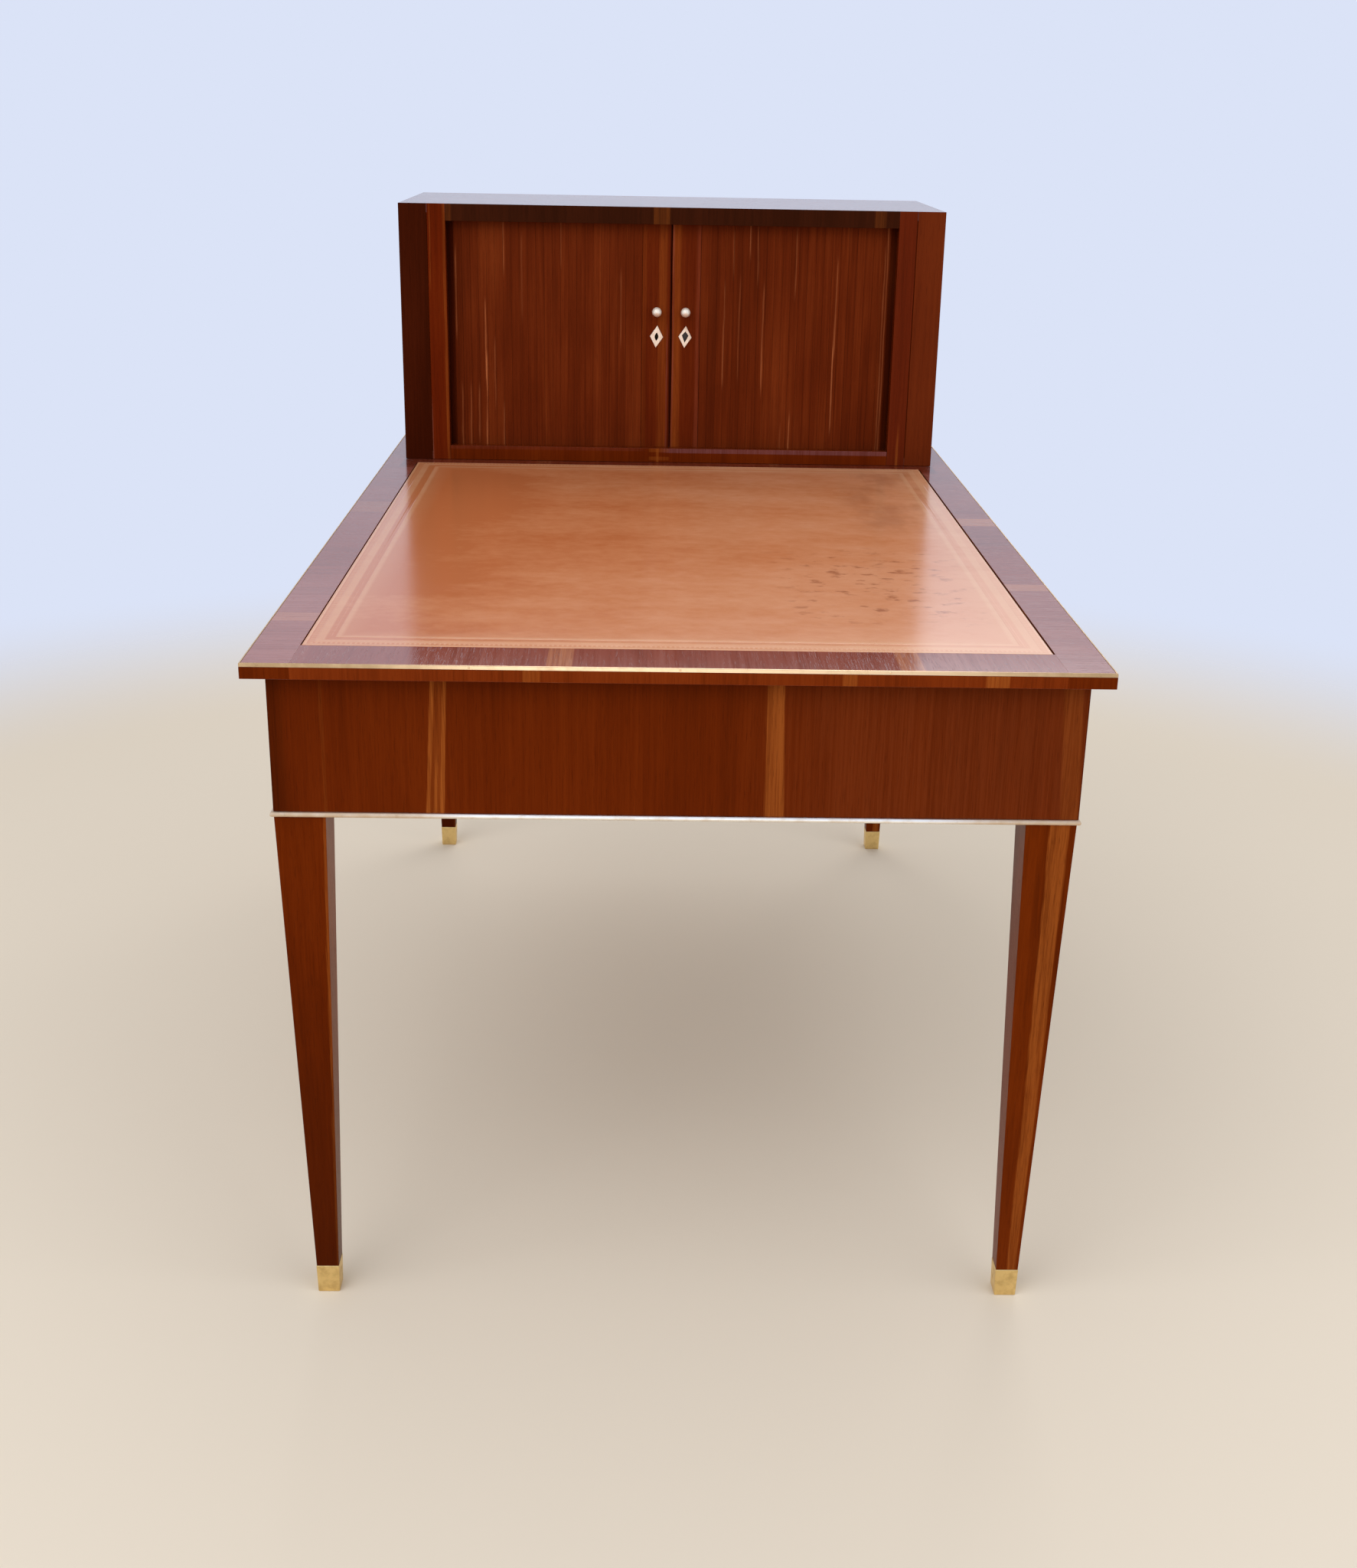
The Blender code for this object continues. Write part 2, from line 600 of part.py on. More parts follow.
def build_carcass():
    """Builds the cabinet's boards, sides, back, linings and shelf."""
    low = (-CABINET_X, CABINET_FRONT)
    high = (CABINET_X, CABINET_REAR)
    bottom = add_box("cabinet_bottom", (*low, TOP_HEIGHT + FIT), (*high, CABINET_FLOOR), MAHOGANY)
    top = add_box("cabinet_top", (*low, CABINET_CEILING), (*high, CABINET_TOP), MAHOGANY)
    for board, height in ((bottom, CABINET_FLOOR), (top, CABINET_CEILING)):
        track = outline_mesh(board.name + "_track", [track_outline()], 2 * TRACK_DEPTH)
        combine(board, add_cutter(board.name + "_track", track, (0.0, 0.0, height)), "DIFFERENCE")

    inside_low = CABINET_FLOOR + FIT
    inside_high = CABINET_CEILING - FIT
    side_in = CABINET_X - CABINET_SIDE
    back_x = side_in - FIT
    add_box("cabinet_back", (-back_x, CABINET_BACK_FRONT, inside_low), (back_x, CABINET_REAR, inside_high), OAK)
    shelf_x = LINING_X - LINING_THICKNESS + SHELF_HOUSING
    shelf_front = TAMBOUR_BACK + LOCK_THICKNESS + SHELF_SET_BACK
    shelf_low = (-shelf_x + FIT, shelf_front, SHELF_LOW)
    shelf_high = (shelf_x - FIT, CABINET_BACK_FRONT - FIT, SHELF_LOW + SHELF_THICKNESS)
    add_box("cabinet_shelf", shelf_low, shelf_high, OAK)
    housing = cutter_box("shelf_housing", (-shelf_x, LINING_FRONT - CUT_PAST, SHELF_LOW - FIT),
                         (shelf_x, CABINET_REAR, SHELF_LOW + SHELF_THICKNESS + FIT))
    for side_name, side in SIDES.items():
        faces = sorted((side * side_in, side * CABINET_X))
        add_box("cabinet_side_" + side_name, (faces[0], FRAME_BACK + FIT, inside_low),
                (faces[1], CABINET_REAR, inside_high), MAHOGANY)
        faces = sorted((side * LINING_X, side * (LINING_X - LINING_THICKNESS)))
        lining = add_box("tambour_lining_" + side_name, (faces[0], LINING_FRONT, inside_low),
                         (faces[1], CABINET_BACK_FRONT - FIT, inside_high), OAK)
        combine(lining, housing, "DIFFERENCE")


def build_face_frame():
    """Builds the cabinet's two banded stiles, its top rail and its sill."""
    inside_low = CABINET_FLOOR + FIT
    inside_high = CABINET_CEILING - FIT
    middle_z = (inside_low + inside_high) / 2
    notch_x = CABINET_X - STILE_BAND
    for side_name, side in SIDES.items():
        plan = [(CABINET_X, FRAME_BACK), (CABINET_X, CABINET_FRONT), (notch_x + STILE_NOTCH, CABINET_FRONT),
                (notch_x, CABINET_FRONT + STILE_NOTCH), (notch_x - STILE_NOTCH, CABINET_FRONT),
                (OPENING_X, CABINET_FRONT), (OPENING_X, FRAME_BACK)]
        name = "cabinet_stile_" + side_name
        mesh = outline_mesh(name, [[(side * x, y) for x, y in plan]], inside_high - inside_low)
        place(name, mesh, (0.0, 0.0, middle_z), DARK_MAHOGANY)
    rail_x = OPENING_X - FIT
    add_box("cabinet_rail_top", (-rail_x, CABINET_FRONT, inside_high - RAIL_TOP),
            (rail_x, FRAME_BACK, inside_high), MAHOGANY)
    add_box("cabinet_sill", (-rail_x, CABINET_FRONT, inside_low), (rail_x, FRAME_BACK, inside_low + SILL), MAHOGANY)


# Tambour doors: slats on cloth behind the frame, each door led by a stile with a knob and an escutcheon

def tambour_outline(side):
    """Gives the plan of one door's slats, from its tail behind the frame to its leading stile."""
    tail = TRACK_X - TRACK_RADIUS
    lead = MEETING_GAP / 2 + LEAD_STILE_WIDTH + FIT
    count = round((tail - lead) / SLAT_PITCH)
    pitch = (tail - lead) / count
    half_groove = SLAT_GROOVE_WIDTH / 2
    shoulder = TAMBOUR_FRONT + SLAT_CROWN
    plan = [(lead, TAMBOUR_BACK), (lead, shoulder)]
    for number in range(count):
        start = lead + number * pitch
        if number:
            plan += [(start, shoulder + SLAT_GROOVE), (start + half_groove, shoulder)]
        plan.append((start + pitch / 2, TAMBOUR_FRONT))
        plan.append((start + pitch - (half_groove if number < count - 1 else 0.0), shoulder))
    plan.append((tail, TAMBOUR_BACK))
    return [(side * x, y) for x, y in plan]


def escutcheon_loops():
    """Gives the lozenge of an escutcheon and the keyhole in it."""
    lozenge = [(0.0, ESCUTCHEON_TALL / 2), (-ESCUTCHEON_WIDTH / 2, 0.0), (0.0, -ESCUTCHEON_TALL / 2),
               (ESCUTCHEON_WIDTH / 2, 0.0)]
    slot_half = KEYHOLE_RADIUS / 2
    start = math.asin(slot_half / KEYHOLE_RADIUS)
    keyhole = [(slot_half, -KEYHOLE_SLOT)]
    for step in range(HOLE_FACETS // 2 + 1):
        angle = start - math.pi / 2 + (2 * math.pi - 2 * start) * step / (HOLE_FACETS // 2)
        keyhole.append((KEYHOLE_RADIUS * math.cos(angle), KEYHOLE_RADIUS * math.sin(angle)))
    keyhole.append((-slot_half, -KEYHOLE_SLOT))
    return [lozenge, keyhole]


def build_door(side_name, side):
    """Builds one tambour door, closed, with its leading stile and brass under a pivot on its slide."""
    height = TAMBOUR_HIGH - TAMBOUR_LOW
    middle_z = (TAMBOUR_HIGH + TAMBOUR_LOW) / 2
    name = "tambour_" + side_name
    place(name, outline_mesh(name, [tambour_outline(side)], height), (0.0, 0.0, middle_z), MAHOGANY)

    pivot = add_pivot("tambour_slide_" + side_name, (side * MEETING_GAP / 2, TAMBOUR_FRONT, middle_z))
    faces = sorted((side * MEETING_GAP / 2, side * (MEETING_GAP / 2 + LEAD_STILE_WIDTH)))
    stile = add_box("tambour_stile_" + side_name, (faces[0], TAMBOUR_FRONT, TAMBOUR_LOW),
                    (faces[1], TAMBOUR_BACK, TAMBOUR_HIGH), MAHOGANY, pivot)
    middle_x = side * HARDWARE_INSET
    knob_place = (middle_x, TAMBOUR_FRONT, TOP_HEIGHT + KNOB_HEIGHT)
    add_knob("tambour_knob_" + side_name, knob_place, TURN_TO_NEAR, pivot)
    bore_for_knob(stile, knob_place, TURN_TO_NEAR)

    plate_z = TOP_HEIGHT + ESCUTCHEON_HEIGHT
    plate_name = "tambour_escutcheon_" + side_name
    place(plate_name, outline_mesh(plate_name, escutcheon_loops(), ESCUTCHEON_THICKNESS),
          (middle_x, TAMBOUR_FRONT - FIT - ESCUTCHEON_THICKNESS / 2, plate_z), BRASS, TURN_TO_NEAR, pivot)
    combine(stile, hole_cutter("keyhole_" + side_name, KEYHOLE_RADIUS + FIT, SLAT_THICKNESS + CUT_PAST,
                               (middle_x, TRACK_Y, plate_z), TURN_TO_NEAR), "DIFFERENCE")
    if side_name == "right":
        add_box("tambour_lock", (middle_x - LOCK_WIDTH / 2, TAMBOUR_BACK + FIT, plate_z - LOCK_TALL / 2),
                (middle_x + LOCK_WIDTH / 2, TAMBOUR_BACK + FIT + LOCK_THICKNESS, plate_z + LOCK_TALL / 2),
                STEEL, pivot)


build_top()
build_frieze(build_legs())
build_bearers()
for drawer_number in range(1, DRAWER_COUNT + 1):
    build_drawer(drawer_number)
build_carcass()
build_face_frame()
for door_side, door_sign in SIDES.items():
    build_door(door_side, door_sign)
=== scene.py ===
"""Looks of the writing desk with file cabinet: veneers, leather, brass and slatted doors."""
from __future__ import annotations

import logging
import math
import random
from collections.abc import Callable, Iterator, Mapping, Sequence
from contextlib import contextmanager
from dataclasses import dataclass, field
from enum import Enum
from typing import NamedTuple

import bmesh
import bpy
from mathutils import Matrix, Vector


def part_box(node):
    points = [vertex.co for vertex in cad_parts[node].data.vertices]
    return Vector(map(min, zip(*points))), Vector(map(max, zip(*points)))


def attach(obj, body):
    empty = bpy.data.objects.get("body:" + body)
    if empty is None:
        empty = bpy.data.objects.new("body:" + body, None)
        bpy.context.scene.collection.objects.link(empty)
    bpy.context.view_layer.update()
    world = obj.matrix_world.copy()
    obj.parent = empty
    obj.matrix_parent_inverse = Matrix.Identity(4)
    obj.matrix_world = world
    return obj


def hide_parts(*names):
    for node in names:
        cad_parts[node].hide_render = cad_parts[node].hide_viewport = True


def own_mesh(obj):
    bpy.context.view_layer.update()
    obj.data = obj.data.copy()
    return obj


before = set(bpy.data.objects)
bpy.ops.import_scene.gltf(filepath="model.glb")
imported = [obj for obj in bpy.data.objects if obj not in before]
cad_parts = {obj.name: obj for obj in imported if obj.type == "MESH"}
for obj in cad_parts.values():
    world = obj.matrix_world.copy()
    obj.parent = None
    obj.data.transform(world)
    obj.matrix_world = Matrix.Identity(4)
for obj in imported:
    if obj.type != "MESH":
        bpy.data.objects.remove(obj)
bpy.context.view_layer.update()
LOG = logging.getLogger("writing_desk")

Colour = tuple[float, float, float]
Point = tuple[float, float, float]
Span = tuple[float, float]
SIDES = {"left": -1, "right": 1}
ENDS = {"near": -1, "far": 1}
DESK = "desk"
SLAT_MAP = "slats"
ORIGIN = (0.0, 0.0, 0.0)
NEAR_ENOUGH = 1e-4
LONG_EDGE = 0.1
FLAT = 0.99
SHARP = 0.3
SMOOTH_ANGLE = math.radians(35)
QUARTER_TURN = math.pi / 2
CUT_THROUGH = 0.02


def ink(red: int, green: int, blue: int) -> Colour:
    """Gives the linear colour of a screen colour, as Blender's sockets take it without alpha."""
    shares = (red / 255, green / 255, blue / 255)
    return tuple(s / 12.92 if s <= 0.04045 else ((s + 0.055) / 1.055) ** 2.4 for s in shares)


class Axis(Enum):
    """A direction of the desk's frame."""

    X = 0
    Y = 1
    Z = 2

    def stretch(self, along: float, across: float) -> Point:
        """Gives three values, one for this axis and another for the other two."""
        return tuple(along if i == self.value else across for i in range(3))


# Shader maths

def math_method(operation: str) -> Callable[..., Socket]:
    """Gives a method of Socket that adds a Math node.

    Args:
        operation: What the node works out.

    Returns:
        The method.
    """
    def method(first: Socket, second: Term = 0.0) -> Socket:
        """Adds the node, with this socket as its first input."""
        return first.graph.math(operation, first, second)
    return method


class Socket:
    """A shader socket that takes part in Python arithmetic, each operation adding one Math node."""

    __add__ = __radd__ = math_method("ADD")
    __sub__ = math_method("SUBTRACT")
    __mul__ = __rmul__ = math_method("MULTIPLY")
    __truediv__ = math_method("DIVIDE")
    __abs__ = math_method("ABSOLUTE")
    least = math_method("MINIMUM")
    most = math_method("MAXIMUM")
    floor = math_method("FLOOR")
    sine = math_method("SINE")

    def __init__(self, graph: Graph, end: bpy.types.NodeSocket) -> None:
        """Keeps the graph and the socket that it stands for."""
        self.graph = graph
        self.end = end

    def __rsub__(self, other: float) -> Socket:
        """Subtracts this socket from a number."""
        return self.graph.math("SUBTRACT", other, self)

    def beside(self, output: str | int) -> Socket:
        """Gives another output of the same node."""
        return Socket(self.graph, self.end.node.outputs[output])


Term = Socket | float


class Graph:
    """Adds nodes to one node tree."""

    def __init__(self, tree: bpy.types.NodeTree) -> None:
        """Empties the tree and keeps it."""
        self.tree = tree
        tree.nodes.clear()

    def node(self, kind: str, settings: Mapping[str, object] | None = None,
             inputs: Mapping[str | int, object] | None = None, output: str | int = 0) -> Socket:
        """Adds a node of any type.

        Args:
            kind: The node's type, without its ShaderNode prefix.
            settings: Its settings, and under "stops" a ramp's places and colours.
            inputs: Values or links of its sockets.
            output: Which of its outputs is wanted.

        Returns:
            That output.
        """
        made = self.tree.nodes.new("ShaderNode" + kind)
        for key, value in (settings or {}).items():
            if key == "stops":
                self._set_stops(made.color_ramp, value)
            else:
                setattr(made, key, value)
        for key, value in (inputs or {}).items():
            self._feed(made.inputs[key], value)
        return Socket(self, made.outputs[output])

    def show(self, kind: str, shader: Socket) -> None:
        """Ends the graph by linking a shader to the output node of a material or world."""
        self._feed(self.tree.nodes.new("ShaderNodeOutput" + kind).inputs["Surface"], shader)

    @staticmethod
    def _set_stops(ramp: bpy.types.ColorRamp, stops: Sequence[tuple[float, Colour]]) -> None:
        """Gives a ramp its stops.

        Args:
            ramp: The ramp.
            stops: Places and colours.
        """
        while len(ramp.elements) < len(stops):
            ramp.elements.new(1.0)
        for element, (place, colour) in zip(ramp.elements, stops):
            element.position = place
            element.color = (*colour, 1.0)

    def _feed(self, entry: bpy.types.NodeSocket, value: object) -> None:
        """Links a socket to an input, or sets the input's value.

        Args:
            entry: The input.
            value: A socket, or a value without alpha.
        """
        if isinstance(value, Socket):
            self.tree.links.new(value.end, entry)
        elif entry.type == "RGBA":
            entry.default_value = (*value, 1.0)
        else:
            entry.default_value = value

    def math(self, operation: str, first: Term, second: Term = 0.0) -> Socket:
        """Adds a Math node."""
        return self.node("Math", {"operation": operation}, {0: first, 1: second})

    def vector(self, operation: str, first: Socket, second: object) -> Socket:
        """Adds a Vector Math node."""
        return self.node("VectorMath", {"operation": operation}, {0: first, 1: second})

    def place(self) -> Socket:
        """Gives the place on the object, in metres."""
        return self.node("TexCoord", output="Object")

    def split(self, vector: Socket) -> tuple[Socket, Socket, Socket]:
        """Gives a vector's three parts."""
        first = self.node("SeparateXYZ", inputs={0: vector})
        return first, first.beside(1), first.beside(2)

    def noise(self, vector: Socket, scales: Point, start: float, detail: float = 2.0,
              roughness: float = 0.55) -> Socket:
        """Gives noise between 0 and 1.

        Args:
            vector: The place on the surface.
            scales: The pattern's scales, in repeats to the metre.
            start: Where in the noise the pattern starts.
            detail: Octaves.
            roughness: How much the finer octaves count.

        Returns:
            The noise.
        """
        scaled = self.vector("MULTIPLY", vector, scales)
        moved = self.vector("ADD", scaled, (start, start, start))
        return self.node("TexNoise", inputs={
            "Vector": moved, "Scale": 1.0, "Detail": detail, "Roughness": roughness})

    def step(self, value: Socket, low: float, high: float) -> Socket:
        """Rises smoothly from 0 at low to 1 at high, or falls where high is the smaller."""
        return self.node("MapRange", {"interpolation_type": "SMOOTHSTEP"},
                         {"Value": value, "From Min": low, "From Max": high})

    def band(self, value: Socket, low: Term, high: Term, soft: float) -> Socket:
        """Gives 1 between two values, with soft ends outside them."""
        return self.step(value - low, -soft, 0.0) * self.step(high - value, -soft, 0.0)

    def mix(self, share: Term, first: object, second: object) -> Socket:
        """Mixes two colours."""
        return self.node("Mix", {"data_type": "RGBA"}, {0: share, 6: first, 7: second}, 2)

    def ramp(self, value: Socket, stops: Sequence[tuple[float, Colour]]) -> Socket:
        """Turns a value into a colour."""
        return self.node("ValToRGB", {"stops": stops}, {0: value})

    def bump(self, height: Socket, distance: float, strength: float = 1.0) -> Socket:
        """Gives the normal of a surface with a fine relief, in metres."""
        return self.node("Bump", inputs={"Height": height, "Distance": distance, "Strength": strength})

    def finish(self, **inputs: object) -> None:
        """Ends the graph in a Principled shader, whose input names are written with underscores."""
        named = {key.replace("_", " "): value for key, value in inputs.items()}
        self.show("Material", self.node("BsdfPrincipled", inputs=named))


def new_material(name: str) -> tuple[bpy.types.Material, Graph]:
    """Makes a material.

    Args:
        name: Its name.

    Returns:
        The material and its empty graph.
    """
    material = bpy.data.materials.new(name)
    material.use_nodes = True
    return material, Graph(material.node_tree)


# Finishes

class Gloss(Enum):
    """How a polished wood takes the light: its roughness, specular level and specular tint."""

    MIRROR = (0.12, 0.36, (1.0, 1.0, 1.0))
    POLISH = (0.30, 0.06, ink(188, 127, 80))
    DULL = (0.45, 0.06, ink(188, 127, 80))


class Layer(NamedTuple):
    """One layer of noise in the figure of a wood.

    Attributes:
        along: Its scale along the grain, in repeats to the metre.
        across: Its scale across the grain.
        start: Where in the noise it starts.
        detail: Octaves.
        roughness: How much the finer octaves count.
        weight: Its part in the wood's tone.
    """

    along: float
    across: float
    start: float
    detail: float = 2.0
    roughness: float = 0.55
    weight: float = 0.0


class Mahogany(Enum):
    """The layers of mahogany's figure."""

    RIBBON = Layer(1.4, 30.0, 0.0, 3.0, 0.6, 0.32)
    STREAK = Layer(5.0, 300.0, 7.0, 3.0, 0.65, 0.28)
    CLOUD = Layer(4.0, 8.0, 13.0, weight=0.28)
    PORES = Layer(45.0, 1500.0, 19.0, 1.0)
    DRIFT = Layer(7.0, 0.5, 23.0)
    FIBRE = Layer(10.0, 900.0, 29.0, weight=0.10)


class OakGrain(Enum):
    """The layers of oak's figure."""

    RINGS = Layer(1.2, 26.0, 3.0, 3.0, 0.6, 0.6)
    STREAK = Layer(8.0, 330.0, 5.0, 3.0, 0.7, 0.5)
    PORES = Layer(40.0, 1100.0, 11.0, 1.0)


def draw_figure(graph: Graph, place: Socket, grain: Axis, wood: type[Enum],
                shift: float = 0.0) -> tuple[Socket, Mapping[Enum, Socket]]:
    """Draws the figure of a wood.

    Args:
        graph: The material's graph.
        place: The place on the surface.
        grain: The direction of the grain.
        wood: The layers of its figure.
        shift: How far the figure is moved in the noise.

    Returns:
        How far the tone is from the middle one, and the noise of each layer.
    """
    noise = {}
    swing = 0.0
    for layer in wood:
        along, across, start, detail, roughness, weight = layer.value
        noise[layer] = graph.noise(place, grain.stretch(along, across), shift + start, detail, roughness)
        if weight:
            swing = (noise[layer] - 0.5) * weight + swing
    return swing, noise


@dataclass(frozen=True)
class Tones:
    """The tones of one wood.

    Attributes:
        deep: The darkest wood, also in the pores.
        middle: The middle tone.
        warm: The lightest heartwood.
        pale: The sapwood.
    """

    deep: Colour = ink(62, 17, 2)
    middle: Colour = ink(93, 31, 4)
    warm: Colour = ink(116, 45, 9)
    pale: Colour = ink(152, 80, 30)

    @classmethod
    def of(cls, *screen: tuple[int, int, int]) -> Tones:
        """Gives tones from screen colours, in the order of the attributes."""
        return cls(*(ink(*colour) for colour in screen))

    def stops(self, places: Point) -> tuple[tuple[float, Colour], ...]:
        """Gives the stops of a ramp through the heartwood's three tones."""
        return tuple(zip(places, (self.deep, self.middle, self.warm)))


@dataclass(frozen=True)
class Strip:
    """A strip of another tone along the grain, such as pale sapwood.

    Attributes:
        low: Its lower edge across the grain, at the place called start.
        high: Its upper edge there.
        strength: How much of its tone it has.
        hollow: How much weaker its middle is than its two rims.
        lean: How far each edge moves in a metre of grain.
        start: The place along the grain where the edges are measured.
        soft: How far its edges fade.
        reach: Where along the grain it starts and ends, or nothing where it runs all along.
        tone: Its colour, or nothing for the veneer's own sapwood.
    """

    low: float
    high: float
    strength: float = 0.75
    hollow: float = 0.0
    lean: Span = (0.0, 0.0)
    start: float = 0.0
    soft: float = 0.0022
    reach: Span | None = None
    tone: Colour | None = None


@dataclass(frozen=True)
class Veneer:
    """Straight-grained mahogany under French polish.

    Attributes:
        name: The material's name.
        grain: The direction of the grain.
        across: The direction that the strips are measured in.
        strips: The strips of another tone.
        gloss: The polish.
        tones: The tones of the wood.
        shift: Where in the noise the figure starts.
        figure: How strong the figure is.
        foot_shade: How dark a leg gets towards the floor.
        slat_pitch: The width of a slat, where the veneer is cut into slats that have a map of their own.
        fade: How far the ends of a short strip fade.
        wander: How far the strips wander from side to side.
        fray: How ragged their edges are.
        rim: The width of the rims of a hollow strip.
        places: Where the three tones lie in the figure.
        slat_contrast: How far the tones of slats differ.
        floor_shade_colour: The colour of the painted shade on a leg at the floor.
        shade_height: Where the shade on a leg starts.
        relief: The depth of the pores.
    """

    name: str
    grain: Axis
    across: Axis
    strips: tuple[Strip, ...] = ()
    gloss: Gloss = Gloss.POLISH
    tones: Tones = Tones()
    shift: float = 0.0
    figure: float = 1.0
    foot_shade: float = 0.0
    slat_pitch: float = 0.0
    fade: float = 0.05
    wander: float = 0.003
    fray: float = 0.004
    rim: float = 0.0030
    places: Point = (0.28, 0.50, 0.74)
    slat_contrast: float = 0.05
    floor_shade_colour: Colour = ink(44, 11, 2)
    shade_height: float = 0.50
    relief: float = 0.00006

    def build(self) -> bpy.types.Material:
        """Makes the material.

        Returns:
            The material.
        """
        material, graph = new_material(self.name)
        place = graph.node("UVMap", {"uv_map": SLAT_MAP}) if self.slat_pitch else graph.place()
        parts = graph.split(place)
        along, across = parts[self.grain.value], parts[self.across.value]
        swing, noise = draw_figure(graph, place, self.grain, Mahogany, self.shift)
        streak, fibre = noise[Mahogany.STREAK], noise[Mahogany.FIBRE]
        tone = swing * self.figure + 0.5
        if self.slat_pitch:
            number = (across / self.slat_pitch).floor()
            chance = graph.node("TexWhiteNoise", {"noise_dimensions": "1D"}, {"W": number})
            tone = tone + (chance - 0.5) * self.slat_contrast
        colour = graph.ramp(tone, self.tones.stops(self.places))

        drift = (noise[Mahogany.DRIFT] - 0.5) * self.wander
        frayed = across + drift + (fibre - 0.5) * self.fray
        grained = 0.50 + graph.step(streak * 0.6 + fibre * 0.4, 0.40, 0.58) * 0.50
        for strip in self.strips:
            mask = self._strip(graph, strip, along, frayed)
            colour = graph.mix(mask * grained, colour, strip.tone or self.tones.pale)

        fleck = graph.step(noise[Mahogany.PORES], 0.60, 0.72)
        colour = graph.mix(fleck * 0.35, colour, self.tones.deep)
        # Painted shade: the leg darkens towards the floor.
        if self.foot_shade:
            shade = graph.step(along, self.shade_height, 0.0) * self.foot_shade
            colour = graph.mix(shade, colour, self.floor_shade_colour)
        roughness, specular, tint = self.gloss.value
        graph.finish(
            Base_Color=colour, Roughness=roughness + (streak - 0.5) * 0.10 + fleck * 0.08,
            Normal=graph.bump(streak * 0.4 - fleck, self.relief), Specular_IOR_Level=specular,
            Specular_Tint=tint)
        return material

    def _strip(self, graph: Graph, strip: Strip, along: Socket, across: Socket) -> Socket:
        """Gives how much of a strip's tone there is at each place.

        Args:
            graph: The material's graph.
            strip: The strip.
            along: The place along the grain.
            across: The place across the grain.

        Returns:
            A share between 0 and the strip's strength.
        """
        rise = along - strip.start
        low = rise * strip.lean[0] + strip.low
        high = rise * strip.lean[1] + strip.high
        mask = graph.band(across, low, high, strip.soft)
        if strip.hollow:
            rim = self.rim + strip.soft
            mask = mask * (1 - graph.band(across, low + rim, high - rim, strip.soft) * strip.hollow)
        if strip.reach:
            mask = mask * graph.band(along, *strip.reach, self.fade)
        return mask * strip.strength


@dataclass(frozen=True)
class Oak:
    """Bare secondary timber with open grain.

    Attributes:
        name: The material's name.
        grain: The direction of the grain.
        tones: The tones of the wood.
        pore: The colour of its pores.
        places: Where the three tones lie in the figure.
        relief: The depth of the pores.
    """

    name: str
    grain: Axis
    tones: Tones = Tones.of((128, 88, 50), (164, 122, 78), (190, 150, 104))
    pore: Colour = ink(96, 62, 34)
    places: Point = (0.25, 0.50, 0.78)
    relief: float = 0.00012

    def build(self) -> bpy.types.Material:
        """Makes the material.

        Returns:
            The material.
        """
        material, graph = new_material(self.name)
        swing, noise = draw_figure(graph, graph.place(), self.grain, OakGrain)
        streak = noise[OakGrain.STREAK]
        fleck = graph.step(noise[OakGrain.PORES], 0.58, 0.70)
        colour = graph.mix(fleck * 0.5, graph.ramp(swing + 0.5, self.tones.stops(self.places)), self.pore)
        graph.finish(Base_Color=colour, Roughness=0.56 + streak * 0.16,
                     Normal=graph.bump(streak - fleck, self.relief), Specular_IOR_Level=0.30)
        return material


class Marks(NamedTuple):
    """Dark marks in one area of the leather.

    Attributes:
        scales: The scales of their noise.
        start: Where in the noise they start.
        onset: The noise between which they set in.
        across: The area's two ends in X, and how far they fade.
        along: The area's two ends in Y, and how far they fade.
        strength: How dark they get.
    """

    scales: Point
    start: float
    onset: Span
    across: Point
    along: Point
    strength: float


